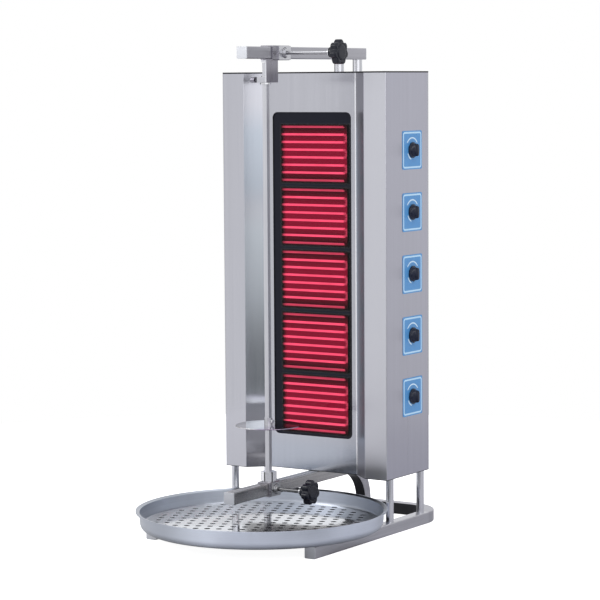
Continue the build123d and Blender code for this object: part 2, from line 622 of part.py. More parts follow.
def make_knob(z):
    """A rotary knob with a skirt and a grip bar, and the flatted shaft in it."""
    start = (KNOB_X, KNOB_Y, z)
    skirt = rod(KNOB_DIAMETER / 2, start, "X", KNOB_SKIRT)
    cone = Cone(KNOB_BODY_DIAMETER / 2, KNOB_BODY_TOP / 2, KNOB_BODY_HEIGHT,
                align=(Align.CENTER, Align.CENTER, Align.MIN))
    body = Pos(KNOB_X + KNOB_SKIRT, KNOB_Y, z) * Rot(0, 90, 0) * cone
    grip_half = KNOB_BODY_DIAMETER / 2 - GRIP_INSET
    grip = block((KNOB_X + KNOB_SKIRT, KNOB_X + KNOB_HEIGHT),
                 (KNOB_Y - GRIP_WIDTH / 2, KNOB_Y + GRIP_WIDTH / 2), (z - grip_half, z + grip_half))
    grip = fillet(grip.edges().filter_by(Axis.X), GRIP_WIDTH * 0.45)
    grip = fillet(grip.faces().sort_by(Axis.X)[-1].edges(), GRIP_EDGE)
    shaft_end = KNOB_X + SHAFT_IN_KNOB
    shaft = rod(SHAFT_DIAMETER / 2, (SHAFT_X, KNOB_Y, z), "X", shaft_end - SHAFT_X)
    flat = block((KNOB_X, shaft_end), (KNOB_Y - SHAFT_DIAMETER, KNOB_Y + SHAFT_DIAMETER),
                 (z + SHAFT_FLAT - SHAFT_DIAMETER / 2, z + SHAFT_DIAMETER))
    shaft -= flat
    socket = rod(SHAFT_DIAMETER / 2, start, "X", SHAFT_IN_KNOB) - flat
    return skirt + body + grip - socket, shaft


def make_controls():
    """Knobs, labels and the energy regulators behind them."""
    regulators, labels = [], []
    wall_x = HALF_CABINET - SHEET
    half = REGULATOR_SIDE / 2
    for index, z in enumerate(zone_heights(KNOB_TOP_Z, KNOB_PITCH)):
        knob, shaft = make_knob(z)
        keep(f"control_knob_{index + 1}", knob, shaft)
        case = block((wall_x - REGULATOR_DEPTH, wall_x), (KNOB_Y - half, KNOB_Y + half),
                     (z - half, z + half))
        bush_length = SHEET + LABEL_THICKNESS
        case += rod(REGULATOR_BUSH / 2, (wall_x, KNOB_Y, z), "X", bush_length)
        bore = SHAFT_DIAMETER / 2 + RUNNING_FIT
        case -= rod(bore, (SHAFT_X - SHAFT_END_GAP, KNOB_Y, z), "X", 2 * REGULATOR_DEPTH)
        regulators.append(case)
        face = RectangleRounded(LABEL_SIZE, LABEL_SIZE, LABEL_CORNER) - Circle(SHAFT_HOLE / 2)
        labels.append(Pos(HALF_CABINET, KNOB_Y, z) * extrude(Plane.YZ * face, LABEL_THICKNESS))
    keep("energy_regulators", *regulators)
    keep("zone_labels", *labels)


def make_wiring():
    """Terminal block, cable gland, and the loom from the block up to the regulators."""
    wide, deep, high = TERMINAL_SIZE
    keep("terminal_block", block((GLAND_X - wide / 2, GLAND_X + wide / 2),
                                 (CABINET_REAR_Y, CABINET_REAR_Y + deep),
                                 (TERMINAL_Z, TERMINAL_Z + high)))
    keep("cable_gland", make_gland())
    start_y = CABINET_REAR_Y + deep / 2
    riser_x = HALF_CABINET - SHEET - REGULATOR_DEPTH + LOOM_DIAMETER
    riser_y = KNOB_Y + REGULATOR_SIDE / 2 + LOOM_DIAMETER / 2
    points = [(LOOM_X, start_y, TERMINAL_Z + high), (LOOM_X, start_y, LOOM_Z),
              (LOOM_X, LOOM_INSIDE_Y, LOOM_Z), (riser_x, riser_y, LOOM_Z), (riser_x, riser_y, KNOB_TOP_Z)]
    path = FilletPolyline(*points, radius=LOOM_BEND)
    section = Plane(origin=points[0], z_dir=(0, 0, 1)) * Circle(LOOM_DIAMETER / 2)
    keep("wiring_loom", sweep(section, path=path))


def make_gland():
    """The cable gland through the rear cover's floor: body, locknut inside, domed nut below."""
    low = COVER_BOTTOM_Z - GLAND_BODY
    body = rod(GLAND_DIAMETER / 2, (GLAND_X, GLAND_Y, low), "Z", GLAND_BODY + SHEET + GLAND_THREAD)
    nut = Pos(GLAND_X, GLAND_Y, low) * extrude(hexagon(GLAND_NUT_FLATS), GLAND_BODY)
    top = COVER_BOTTOM_Z + SHEET
    locknut = Pos(GLAND_X, GLAND_Y, top) * extrude(hexagon(GLAND_NUT_FLATS), GLAND_LOCKNUT)
    end = COVER_BOTTOM_Z - GLAND_DROP
    dome = rod(GLAND_DIAMETER / 2, (GLAND_X, GLAND_Y, end), "Z", GLAND_DROP)
    dome = fillet(dome.edges().filter_by(GeomType.CIRCLE).sort_by(Axis.Z)[0], GLAND_EDGE)
    through = GLAND_DROP + SHEET + GLAND_THREAD
    return body + nut + locknut + dome - rod(GLAND_BORE / 2, (GLAND_X, GLAND_Y, end), "Z", through)


def star_knob(x):
    """A lobed clamping knob with its hub towards the slider; x is the lobed part's inner face."""
    star = Circle(STAR_VALLEY / 2)
    reach = (STAR_DIAMETER - STAR_LOBE_DIAMETER) / 2
    for index in range(STAR_LOBES):
        angle = radians(90 + 360 * index / STAR_LOBES)
        star += Pos(reach * cos(angle), reach * sin(angle)) * Circle(STAR_LOBE_DIAMETER / 2)
    head = extrude(star, STAR_THICKNESS)
    ends = head.faces().filter_by(Axis.Z)
    head = fillet([edge for face in ends for edge in face.edges()], STAR_EDGE)
    head = Pos(x, 0, 0) * Rot(0, 90, 0) * Rot(0, 0, 90) * head
    hub_length = STAR_HUB_LENGTH + STAR_THICKNESS / 2
    hub = rod(STAR_HUB_DIAMETER / 2, (x - STAR_HUB_LENGTH, 0, 0), "X", hub_length)
    bore = rod(SCREW_DIAMETER / 2, (x - STAR_HUB_LENGTH, 0, 0), "X", STAR_BORE_DEPTH)
    return head + hub - bore


def make_clamp(name, y, z, knob_x):
    """Pressure pad, screw with its collar, and star knob of one slider."""
    pad_x = TUBE / 2 + PAD_GAP
    tip_x = pad_x + PAD_THICKNESS
    keep(f"{name}_clamp_pad", rod(PAD_DIAMETER / 2, (pad_x, y, z), "X", PAD_THICKNESS))
    hub_x = knob_x - STAR_HUB_LENGTH
    screw = rod(SCREW_DIAMETER / 2, (tip_x, y, z), "X", hub_x + STAR_BORE_DEPTH - tip_x)
    collar = rod(COLLAR_DIAMETER / 2, (hub_x - COLLAR_LENGTH, y, z), "X", COLLAR_LENGTH)
    collar = fillet(collar.edges().filter_by(GeomType.CIRCLE).sort_by(Axis.X)[0], COLLAR_EDGE)
    keep(f"{name}_clamp_screw", screw + collar)
    keep(f"{name}_star_knob", Pos(0, y, z) * star_knob(knob_x))


def slider(sleeve_y, plate_length, inset, z):
    """A sleeve on its arm with the clamp plate and weld nut on its right side."""
    inner = TUBE + 2 * SLIDE_CLEARANCE
    outer = inner + 2 * SLEEVE_WALL
    section = RectangleRounded(outer, outer, SLEEVE_CORNER) - Rectangle(inner, inner)
    sleeve = on_front(section, 0, sleeve_y[0], z, sleeve_y[1] - sleeve_y[0])
    rear = sleeve_y[1] - inset
    middle = rear - plate_length / 2
    half_height = PLATE_HEIGHT / 2
    face_x = SLEEVE_HALF + PLATE_THICKNESS
    plate = block((SLEEVE_HALF, face_x), (rear - plate_length, rear), (z - half_height, z + half_height))
    nut = rod(NUT_DIAMETER / 2, (face_x, middle, z), "X", NUT_THICKNESS)
    bore = rod(SCREW_DIAMETER / 2 + RUNNING_FIT, (0, middle, z), "X", face_x + NUT_THICKNESS)
    return sleeve + plate + nut - bore, middle


def make_lower_slider():
    """The lower slider with its pivot, thrust washer, spit socket and clamp."""
    body, middle = slider(LOWER_SLEEVE_Y, LOWER_PLATE_LENGTH, LOWER_PLATE_INSET, LOWER_ARM_Z)
    foot = (0, SPIT_Y, LOWER_SLEEVE_TOP_Z)
    keep("lower_slider", body + rod(PIVOT_DIAMETER / 2, foot, "Z", PIVOT_HEIGHT))
    washer = rod(THRUST_WASHER_DIAMETER / 2, foot, "Z", THRUST_WASHER)
    washer -= rod(PIVOT_DIAMETER / 2 + WASHER_CLEARANCE, foot, "Z", THRUST_WASHER)
    keep("thrust_washer", washer)
    cup = Pos(0, SPIT_Y, SOCKET_BOTTOM_Z) * extrude(hexagon(SOCKET_FLATS, SOCKET_TURN), SOCKET_HEIGHT)
    cup -= rod(PIVOT_DIAMETER / 2 + RUNNING_FIT, (0, SPIT_Y, SOCKET_BOTTOM_Z), "Z", PIVOT_HEIGHT)
    cup -= square_bar(SPIT_SIDE + 2 * HUB_CLEARANCE, (SPIT_BOTTOM_Z, SOCKET_TOP_Z), SPIT_TURN)
    keep("spit_socket", cup)
    make_clamp("lower", middle, LOWER_ARM_Z, LOWER_KNOB_X)


def make_upper_slider():
    """The upper slider, and the holder that hangs from it with bearing and lock pin."""
    body, middle = slider(UPPER_SLEEVE_Y, UPPER_PLATE_LENGTH, UPPER_PLATE_INSET, UPPER_ARM_Z)
    keep("upper_slider", body)
    make_clamp("upper", middle, UPPER_ARM_Z, UPPER_KNOB_X)
    y = (HOLDER_FRONT_Y, HOLDER_REAR_Y)
    x = (-HOLDER_RIGHT_X, HOLDER_RIGHT_X)
    under_sleeve = (UPPER_SLEEVE_FRONT_Y, HOLDER_REAR_Y)
    top = block(x, under_sleeve, (HOLDER_TOP_Z - HOLDER_SHEET, HOLDER_TOP_Z))
    side = block((HOLDER_INNER_X, HOLDER_RIGHT_X), y, (HOLDER_BOTTOM_Z, HOLDER_TOP_Z))
    web = block(x, (HOLDER_REAR_Y - HOLDER_SHEET, HOLDER_REAR_Y), (HOLDER_BOTTOM_Z, HOLDER_TOP_Z))
    keep("spit_holder", top + side + web)
    bearing = block((BEARING_LEFT_X, HOLDER_INNER_X),
                    (HOLDER_FRONT_Y + BEARING_FRONT_INSET, HOLDER_REAR_Y - HOLDER_SHEET),
                    (HOLDER_BOTTOM_Z, BEARING_TOP_Z))
    journal = JOURNAL_DIAMETER / 2 + RUNNING_FIT
    bearing -= rod(journal, (0, SPIT_Y, HOLDER_BOTTOM_Z), "Z", BEARING_HEIGHT)
    pin_bore = LOCK_PIN_DIAMETER / 2 + RUNNING_FIT
    bearing -= rod(pin_bore, (BEARING_LEFT_X, SPIT_Y, LOCK_Z), "X", -BEARING_LEFT_X)
    keep("upper_bearing", bearing)
    make_lock_pin(pin_bore)


def make_lock_pin(bore):
    """The spring-less pin that locks the spit's collar, in its threaded housing."""
    outer_x = BEARING_LEFT_X - LOCK_HOUSING_LENGTH
    hexagonal = extrude(hexagon(LOCK_HOUSING_FLATS), LOCK_HOUSING_LENGTH)
    housing = Pos(outer_x, SPIT_Y, LOCK_Z) * Rot(0, 90, 0) * hexagonal
    housing -= rod(bore, (outer_x, SPIT_Y, LOCK_Z), "X", LOCK_HOUSING_LENGTH)
    keep("lock_pin_housing", housing)
    tip_x = -JOURNAL_DIAMETER / 2 - LOCK_PIN_GAP
    knob_x = outer_x - LOCK_NECK - LOCK_KNOB_LENGTH
    pin = rod(LOCK_PIN_DIAMETER / 2, (knob_x, SPIT_Y, LOCK_Z), "X", tip_x - knob_x)
    pull = rod(LOCK_KNOB_DIAMETER / 2, (knob_x, SPIT_Y, LOCK_Z), "X", LOCK_KNOB_LENGTH)
    pull = fillet(pull.edges().filter_by(GeomType.CIRCLE), LOCK_KNOB_EDGE)
    keep("lock_pin", pin + pull)


def make_spit():
    """The square spit, its upper bearing collar, and the meat disc on its hub."""
    keep("spit", square_bar(SPIT_SIDE, (SPIT_BOTTOM_Z, SPIT_TOP_Z), SPIT_TURN))
    bore_side = SPIT_SIDE + 2 * HUB_CLEARANCE
    low = HOLDER_BOTTOM_Z - JOURNAL_FLANGE_GAP - JOURNAL_FLANGE
    high = BEARING_TOP_Z + JOURNAL_ABOVE
    journal = rod(JOURNAL_DIAMETER / 2, (0, SPIT_Y, low), "Z", high - low)
    journal += rod(JOURNAL_FLANGE_DIAMETER / 2, (0, SPIT_Y, low), "Z", JOURNAL_FLANGE)
    journal -= square_bar(SPIT_SIDE, (low, high), SPIT_TURN)
    hole_start = (JOURNAL_DIAMETER / 2 - LOCK_HOLE_DEPTH, 0, 0)
    hole = rod(LOCK_PIN_DIAMETER / 2 + LOCK_HOLE_CLEARANCE, hole_start, "X", 2 * LOCK_HOLE_DEPTH)
    for index in range(LOCK_HOLES):
        journal -= Pos(0, SPIT_Y, LOCK_Z) * Rot(0, 0, 360 / LOCK_HOLES * index) * hole
    keep("bearing_collar", journal)
    disc = rod(DISC_DIAMETER / 2, (0, SPIT_Y, DISC_BOTTOM_Z), "Z", DISC_THICKNESS)
    disc = fillet(disc.edges().filter_by(GeomType.CIRCLE), DISC_EDGE)
    hub_start = (0, SPIT_Y, DISC_BOTTOM_Z)
    keep("meat_disc", disc - rod(HUB_DIAMETER / 2, hub_start, "Z", DISC_THICKNESS))
    hub = rod(HUB_DIAMETER / 2, hub_start, "Z", DISC_THICKNESS + HUB_HEIGHT)
    hub -= square_bar(bore_side, (DISC_BOTTOM_Z, HUB_BOTTOM_Z + HUB_HEIGHT), SPIT_TURN)
    along = Pos(0, SPIT_Y, HUB_BOTTOM_Z + HUB_HEIGHT / 2) * Rot(0, 0, SPIT_TURN)
    screw_x = bore_side / 2 + HUB_SCREW_GAP
    head_x = HUB_DIAMETER / 2 + HUB_SCREW_GAP
    shank = rod(HUB_SCREW / 2, (screw_x, 0, 0), "X", head_x - screw_x)
    head = rod(HUB_SCREW_HEAD / 2, (head_x, 0, 0), "X", HUB_SCREW_HEAD_LENGTH)
    keep("disc_hub", hub - along * rod(HUB_SCREW / 2, (0, 0, 0), "X", HUB_DIAMETER))
    keep("disc_set_screw", along * (shank + head))


def make_tray():
    """The round drip tray: a floor, a rounded corner, a wall and a turned-out hem, revolved."""
    wall, lip_z = TRAY_WALL_RADIUS, TRAY_LIP_Z - TRAY_LIP_RISE
    turns = []
    for radius in (TRAY_CORNER, TRAY_CORNER - TRAY_SHEET):
        reach = radius * sin(pi / 4)
        turns.append(ThreePointArc((TRAY_FLOOR_RADIUS, TRAY_CORNER_Z - radius),
                                   (TRAY_FLOOR_RADIUS + reach, TRAY_CORNER_Z - reach),
                                   (TRAY_FLOOR_RADIUS + radius, TRAY_CORNER_Z)))
    top, hem_r, hem_z = wall + TRAY_TAPER, TRAY_RADIUS - TRAY_HEM, TRAY_LIP_Z - TRAY_HEM
    outer = Polyline((wall, TRAY_CORNER_Z), (top, lip_z), (hem_r, hem_z), (TRAY_RADIUS, hem_z),
                     (TRAY_RADIUS, TRAY_LIP_Z), (hem_r, TRAY_LIP_Z),
                     (top - TRAY_SHEET, lip_z + TRAY_SHEET / 2), (wall - TRAY_SHEET, TRAY_CORNER_Z))
    floor_z = TUBE + TRAY_SHEET
    floor = Polyline((TRAY_FLOOR_RADIUS, floor_z), (0, floor_z), (0, TUBE), (TRAY_FLOOR_RADIUS, TUBE))
    profile = make_face(Curve() + [floor, turns[0], outer, turns[1]])
    keep("drip_tray", Pos(0, TRAY_Y, 0) * revolve(Plane.XZ * profile, axis=Axis.Z))


def insert_radius():
    """Where the insert's lower edge comes to rest on the tray's rounded corner."""
    drop = TRAY_CORNER_Z - (INSERT_Z - INSERT_THICKNESS)
    inner = TRAY_CORNER - TRAY_SHEET
    return TRAY_FLOOR_RADIUS + (inner ** 2 - drop ** 2) ** 0.5 - INSERT_CLEARANCE


def make_insert():
    """The perforated plate in the tray, with holes on a turned rectangular lattice."""
    radius = insert_radius()
    reach = radius - INSERT_MARGIN - HOLE_DIAMETER / 2
    across, along = int(reach / HOLE_PITCH_ACROSS), int(reach / HOLE_PITCH_ALONG)
    lattice = [(column * HOLE_PITCH_ACROSS, row * HOLE_PITCH_ALONG)
               for column in range(-across, across + 1) for row in range(-along, along + 1)]
    hole = Circle(HOLE_DIAMETER / 2)
    holes = [Pos(x, y) * hole for x, y in lattice if (x * x + y * y) ** 0.5 <= reach]
    insert = extrude(Circle(radius) - holes, INSERT_THICKNESS)
    place = Pos(0, TRAY_Y, INSERT_Z - INSERT_THICKNESS) * Rot(0, 0, INSERT_TURN)
    keep("perforated_insert", place * insert)
    print("holes in the insert:", len(holes))


make_base()
make_arms()
make_arm_mounting()
make_shells()
make_panels()
make_rear_cover()
make_cover_screws()
make_window()
make_heaters()
make_controls()
make_wiring()
make_lower_slider()
make_upper_slider()
make_spit()
make_tray()
make_insert()

os.makedirs("parts", exist_ok=True)
for node, shape in PARTS.items():
    export_step(shape, f"parts/{node}.step")
print("nodes:", len(PARTS))
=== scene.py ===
# %% [markdown]
# Electric doner kebab grill, dressed for its photograph
#
# The engineered solids come in as a fixed frame: every tube, sheet and knob at its real size and
# place. This file adds what the eye sees: brushed and polished steel, spun aluminium, dark glass
# with glowing elements behind it, and a white studio. Each step first says what the real thing is,
# then makes it.

# %% Load the engineered frame
import bpy
import numpy as np
from math import cos, pi, radians, sin
from mathutils import Matrix, Vector


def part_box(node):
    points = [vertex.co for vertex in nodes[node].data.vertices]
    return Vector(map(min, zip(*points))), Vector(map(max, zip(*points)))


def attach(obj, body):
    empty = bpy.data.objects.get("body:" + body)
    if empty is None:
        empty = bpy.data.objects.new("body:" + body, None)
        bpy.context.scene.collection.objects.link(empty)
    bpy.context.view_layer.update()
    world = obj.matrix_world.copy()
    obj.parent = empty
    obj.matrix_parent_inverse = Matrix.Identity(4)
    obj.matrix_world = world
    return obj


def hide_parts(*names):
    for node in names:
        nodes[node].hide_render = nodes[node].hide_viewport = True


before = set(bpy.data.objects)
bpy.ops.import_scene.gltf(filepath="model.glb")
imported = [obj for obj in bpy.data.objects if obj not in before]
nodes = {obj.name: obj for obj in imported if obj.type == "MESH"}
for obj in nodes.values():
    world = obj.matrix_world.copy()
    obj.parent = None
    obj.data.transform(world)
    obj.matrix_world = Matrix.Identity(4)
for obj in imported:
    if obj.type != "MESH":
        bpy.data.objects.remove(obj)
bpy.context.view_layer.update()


def middle_of(name):
    """The middle of a solid's box."""
    low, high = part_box(name)
    return (low + high) / 2


# %% [markdown]
# The camera is the photographer's: a long lens about six metres away, a little above the object.
# The view direction was worked out from straight edges of the object. With a target, a distance
# and two angles, the camera's axes follow: back points from the target to the camera, right lies
# level, and up completes the set. A very small roll tilts the picture as in the photograph.

# %% Camera
VIEW_AZIMUTH = radians(32.84)
VIEW_ELEVATION = radians(5.23)
VIEW_ROLL = radians(0.37)
VIEW_TARGET = Vector((-0.00735, 0.10031, 0.58808))
VIEW_DISTANCE = 6.08988
LENS_MM = 142.6


def camera_axes(azimuth, elevation, roll):
    """Right, up and back vectors. Back = (sin a cos e, -cos a cos e, sin e)."""
    right = Vector((cos(azimuth), sin(azimuth), 0.0))
    level = cos(elevation)
    back = Vector((sin(azimuth) * level, -cos(azimuth) * level, sin(elevation)))
    up = back.cross(right)
    return right * cos(roll) - up * sin(roll), right * sin(roll) + up * cos(roll), back


def make_camera():
    """A perspective camera whose matrix has the three axes as columns."""
    right, up, back = camera_axes(VIEW_AZIMUTH, VIEW_ELEVATION, VIEW_ROLL)
    data = bpy.data.cameras.new("photo_camera")
    data.lens = LENS_MM
    data.sensor_width = 36.0
    camera = bpy.data.objects.new("photo_camera", data)
    bpy.context.scene.collection.objects.link(camera)
    place = Matrix((right, up, back)).transposed().to_4x4()
    place.translation = VIEW_TARGET + back * VIEW_DISTANCE
    camera.matrix_world = place
    bpy.context.scene.camera = camera
    return camera


camera = make_camera()
print("camera at", [round(v, 3) for v in camera.location])

# %% [markdown]
# Finishes are node trees. Short helpers keep each recipe readable: they start a material with its
# shader, add a node and feed its inputs, and do arithmetic on sockets or numbers.

# %% Helpers for node recipes
def feed(tree, socket, value):
    """Link a socket to another node's output, or set it to a number or a tuple."""
    if isinstance(value, bpy.types.NodeSocket):
        tree.links.new(value, socket)
    elif hasattr(value, "__len__") and len(value) == 3 and socket.type == "RGBA":
        socket.default_value = (*value, 1.0)
    else:
        socket.default_value = value


def give(tree, node, **inputs):
    """Feed a node's sockets by name, with _ for a space."""
    for name, value in inputs.items():
        feed(tree, node.inputs[name.replace("_", " ")], value)


def add(tree, kind, settings=None, **inputs):
    """Add a node: settings are its properties, inputs its sockets."""
    node = tree.nodes.new("ShaderNode" + kind)
    for name, value in (settings or {}).items():
        setattr(node, name, value)
    give(tree, node, **inputs)
    return node


def calc(tree, operation, *values):
    """A math node on sockets or numbers."""
    node = add(tree, "Math", {"operation": operation})
    for socket, value in zip(node.inputs, values):
        feed(tree, socket, value)
    return node.outputs[0]


def times(tree, a, b):
    """a * b"""
    return calc(tree, "MULTIPLY", a, b)


def plus(tree, a, b):
    """a + b"""
    return calc(tree, "ADD", a, b)


def minus(tree, a, b):
    """a - b"""
    return calc(tree, "SUBTRACT", a, b)


def larger(tree, a, b):
    """The larger of a and b."""
    return calc(tree, "MAXIMUM", a, b)


def smaller(tree, a, b):
    """The smaller of a and b."""
    return calc(tree, "MINIMUM", a, b)


def scaled(tree, value, slope, start):
    """value * slope + start"""
    return calc(tree, "MULTIPLY_ADD", value, slope, start)


def weigh(tree, *pairs):
    """The sum of value * weight over (value, weight) pairs."""
    total = times(tree, *pairs[0])
    for value, weight in pairs[1:]:
        total = scaled(tree, value, weight, total)
    return total


def distance(tree, a, b):
    """The length of (a, b): the square root of a * a + b * b."""
    return calc(tree, "SQRT", weigh(tree, (a, a), (b, b)))


def blend_colours(tree, share, low, high):
    """Colour between low and high by a share from 0 to 1."""
    node = add(tree, "Mix", {"data_type": "RGBA"})
    feed(tree, node.inputs[0], share)
    feed(tree, node.inputs[6], low)
    feed(tree, node.inputs[7], high)
    return node.outputs[2]


def step_up(tree, value, low, high):
    """Smooth step: 0 up to low, 1 from high on. With high below low it steps up downwards."""
    node = add(tree, "MapRange", {"interpolation_type": "SMOOTHSTEP"})
    for socket, number in zip(node.inputs, (value, low, high, 0.0, 1.0)):
        feed(tree, socket, number)
    return node.outputs[0]


def between(tree, value, low, high, soft):
    """1 between low and high, with soft ends."""
    return times(tree, step_up(tree, value, low - soft, low + soft),
                 step_up(tree, value, high + soft, high - soft))


def noise(tree, where, scale, detail):
    """Cloudy noise around 0.5."""
    return add(tree, "TexNoise", Vector=where, Scale=scale, Detail=detail).outputs[0]


def start_finish(name):
    """A new material with a Principled shader wired to its output."""
    finish = bpy.data.materials.new(name)
    finish.use_nodes = True
    tree = finish.node_tree
    tree.nodes.clear()
    shader = add(tree, "BsdfPrincipled")
    add(tree, "OutputMaterial", Surface=shader.outputs[0])
    return finish, tree, shader


def place_of(tree):
    """Object coordinates and their X, Y and Z."""
    where = add(tree, "TexCoord").outputs["Object"]
    split = add(tree, "SeparateXYZ", Vector=where)
    return where, split.outputs[0], split.outputs[1], split.outputs[2]


def add_relief(tree, shader, height, strength, depth, edge=None):
    """A bump from a height, laid over edges that a Bevel node rounds when their radius is given."""
    inputs = {"Height": height, "Strength": strength, "Distance": depth}
    if edge:
        inputs["Normal"] = add(tree, "Bevel", {"samples": 4}, Radius=edge).outputs[0]
    give(tree, shader, Normal=add(tree, "Bump", **inputs).outputs[0])


def dress(names, finish):
    """Give a finish to solids by name."""
    for name in names:
        nodes[name].data.materials.clear()
        nodes[name].data.materials.append(finish)


# %% [markdown]
# Brushed stainless steel is the whole look of this machine. A belt grinder leaves thousands of
# fine, nearly parallel scratches. Three things come from them: a streaky tone along the grain, a
# small bump across it, and reflections that smear sideways. Noise stretched along the grain gives
# the first two, and the shader's anisotropy gives the third. A wide, soft second noise stands for
# handling and heat.

# %% Brushed steel
GRAIN_SCALES = {"X": (6.0, 900.0, 900.0), "Y": (900.0, 6.0, 900.0), "Z": (900.0, 900.0, 6.0)}
GRAIN_AXES = {"X": (1.0, 0.0, 0.0), "Y": (0.0, 1.0, 0.0), "Z": (0.0, 0.0, 1.0)}
STREAK_WIDTH = 12.0
SCRATCH_RELIEF = 0.06
SOFT_EDGE = 0.0006
TOP_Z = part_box("top_cover")[1].z
BOTTOM_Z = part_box("bottom_plate")[0].z
RIM_LINE = 0.0034
RIM_SHADE_COLOUR = (0.02, 0.02, 0.022)


def painted_rim_lines(tree, z):
    """1 where painted shade lines the sheets' edges: a line under the top cover's face, and the
    lowest millimetre.
    """
    under_top = times(tree, step_up(tree, z, TOP_Z - RIM_LINE - 0.0003, TOP_Z - RIM_LINE),
                      step_up(tree, z, TOP_Z - 0.00004, TOP_Z - 0.0001))
    return larger(tree, under_top, step_up(tree, z, BOTTOM_Z + 0.0018, BOTTOM_Z + 0.0012))


def lay_patches(tree, shade, patches, place):
    """A patch is a function of the place, which gives the share of a colour, and that colour."""
    for share, other in patches:
        shade = blend_colours(tree, share(tree, *place), shade, other)
    return shade


def brushed_steel(name, colour, grain, roughness, smear=0.6, streak=0.05, rim_shade=False, patches=()):
    """Steel with a brushed grain along one axis. Tone = colour * (1 + 2 * streak * a share from
    -1 to 1), where the share is 0.4 scratches + 0.4 streaks + 0.2 cloud."""
    finish, tree, shader = start_finish(name)
    where, *place = place_of(tree)
    fine = add(tree, "Mapping", Vector=where, Scale=GRAIN_SCALES[grain])
    scratches = noise(tree, fine.outputs[0], 1.0, 3.0)
    wide = add(tree, "Mapping", Vector=where,
               Scale=tuple(v / STREAK_WIDTH for v in GRAIN_SCALES[grain]))
    streaks = noise(tree, wide.outputs[0], 1.0, 2.0)
    cloud = noise(tree, where, 5.0, 2.0)
    tone = weigh(tree, (scratches, 0.4), (streaks, 0.4), (cloud, 0.2))
    dark = tuple(c * (1.0 - 2.0 * streak) for c in colour)
    light = tuple(min(1.0, c * (1.0 + 2.0 * streak)) for c in colour)
    shade = blend_colours(tree, step_up(tree, tone, 0.3, 0.7), dark, light)
    shade = lay_patches(tree, shade, patches, place)
    # Painted shade: dark lines along the sheets' top and bottom edges.
    if rim_shade:
        shade = blend_colours(tree, painted_rim_lines(tree, place[2]), shade, RIM_SHADE_COLOUR)
    along = add(tree, "CombineXYZ", **dict(zip("XYZ", GRAIN_AXES[grain])))
    give(tree, shader, Base_Color=shade, Roughness=scaled(tree, streaks, 0.10, roughness - 0.05),
         Metallic=1.0, Anisotropic=smear, Anisotropic_Rotation=0.25, Tangent=along.outputs[0])
    add_relief(tree, shader, scratches, SCRATCH_RELIEF, 0.0004, SOFT_EDGE)
    return finish


# %% [markdown]
# Sheets of the same steel differ in the photograph, because each mirrors another part of a room
# that isn't known. Painted reflections stand for that: soft areas of another colour, found by
# their place on the sheet. The slanted cheeks are the lively ones, and on the foot of the right
# flat the painted reflection of a dark edge shows.

# %% Patches on the cabinet
SHELL_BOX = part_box("side_shell_right")
CHEEK_END_X = SHELL_BOX[1].x - 0.0653
PANEL_END_X = 0.1336
WINDOW_LIGHT_FOOT = (0.19, 0.27)
WINDOW_LIGHT_HEAD = (1.06, 0.99)
FLAT_FOOT = (0.184, 0.156)
PANEL_FOOT = (0.26, 0.19)


def beside(low, high):
    """A patch by x: 0 up to low, 1 from high on."""
    return lambda tree, x, y, z: step_up(tree, x, low, high)


def cheek(tree, x, y, z):
    """1 on the right shell's slanted cheek."""
    return step_up(tree, x, CHEEK_END_X + 0.0005, CHEEK_END_X - 0.0015)


def cheek_by_window(tree, x, y, z):
    """1 on the cheek beside the window."""
    lit = times(tree, step_up(tree, z, *WINDOW_LIGHT_FOOT), step_up(tree, z, *WINDOW_LIGHT_HEAD))
    return times(tree, cheek(tree, x, y, z), lit)


def left_cheek_part(low, high, soft):
    """A patch on the left shell's cheek between two heights, with soft ends."""
    def share(tree, x, y, z):
        on_cheek = step_up(tree, x, -CHEEK_END_X - 0.0005, -CHEEK_END_X + 0.0015)
        return times(tree, on_cheek, between(tree, z, low, high, soft))
    return share


def right_flat(tree, x, y, z):
    """1 on the flat at the right of the cheeks."""
    return times(tree, step_up(tree, x, CHEEK_END_X, CHEEK_END_X + 0.003),
                 step_up(tree, y, SHELL_BOX[0].y + 0.0012, SHELL_BOX[0].y + 0.0008))


def flat_foot(tree, x, y, z):
    """The right flat's foot: 0 above it, rising to 1 below."""
    return times(tree, right_flat(tree, x, y, z), step_up(tree, z, *FLAT_FOOT))


def panel_foot(tree, x, y, z):
    """1 on the centre panel under the window, which mirrors cool light from the tray."""
    return step_up(tree, z, *PANEL_FOOT)


def fold_highlight(tree, x, y, z):
    """1 on the fold line at the centre panel's right end, where a highlight is painted."""
    return step_up(tree, x, PANEL_END_X - 0.0038, PANEL_END_X - 0.0026)


print("cheek ends at x =", round(CHEEK_END_X, 4))

# %% [markdown]
# The sheets now get their steel: upright grain on what stands, level grain on what lies. The three
# numbers after the grain are roughness, sideways smear and strength of the streaks.

# %% Steel of the cabinet
CABINET_STEEL = (0.50, 0.50, 0.54)
dress(["back_panel", "rear_cover"],
      brushed_steel("brushed_steel_upright", CABINET_STEEL, "Z", 0.21, 0.88, 0.02, rim_shade=True))
dress(["side_shell_left"],
      brushed_steel("brushed_steel_left_shell", CABINET_STEEL, "Z", 0.15, 0.9, 0.015, rim_shade=True,
                    patches=[(left_cheek_part(0.84, 1.05, 0.05), (0.43, 0.465, 0.52)),
                             (left_cheek_part(0.30, 0.80, 0.06), (0.55, 0.585, 0.63))]))
dress(["side_shell_right"],
      brushed_steel("brushed_steel_right_shell", (0.49, 0.485, 0.55), "Z", 0.30, 0.5, 0.02,
                    rim_shade=True, patches=[(cheek, (0.33, 0.325, 0.36)),
                                        (cheek_by_window, (0.355, 0.395, 0.465)),
                                        (right_flat, (0.57, 0.57, 0.61)),
                                        (flat_foot, (0.39, 0.39, 0.41))]))
dress(["centre_panel"],
      brushed_steel("brushed_steel_panel", CABINET_STEEL, "Z", 0.21, 0.88, 0.02, rim_shade=True,
                    patches=[(panel_foot, (0.46, 0.485, 0.545)),
                             (fold_highlight, (0.95, 0.95, 0.97))]))
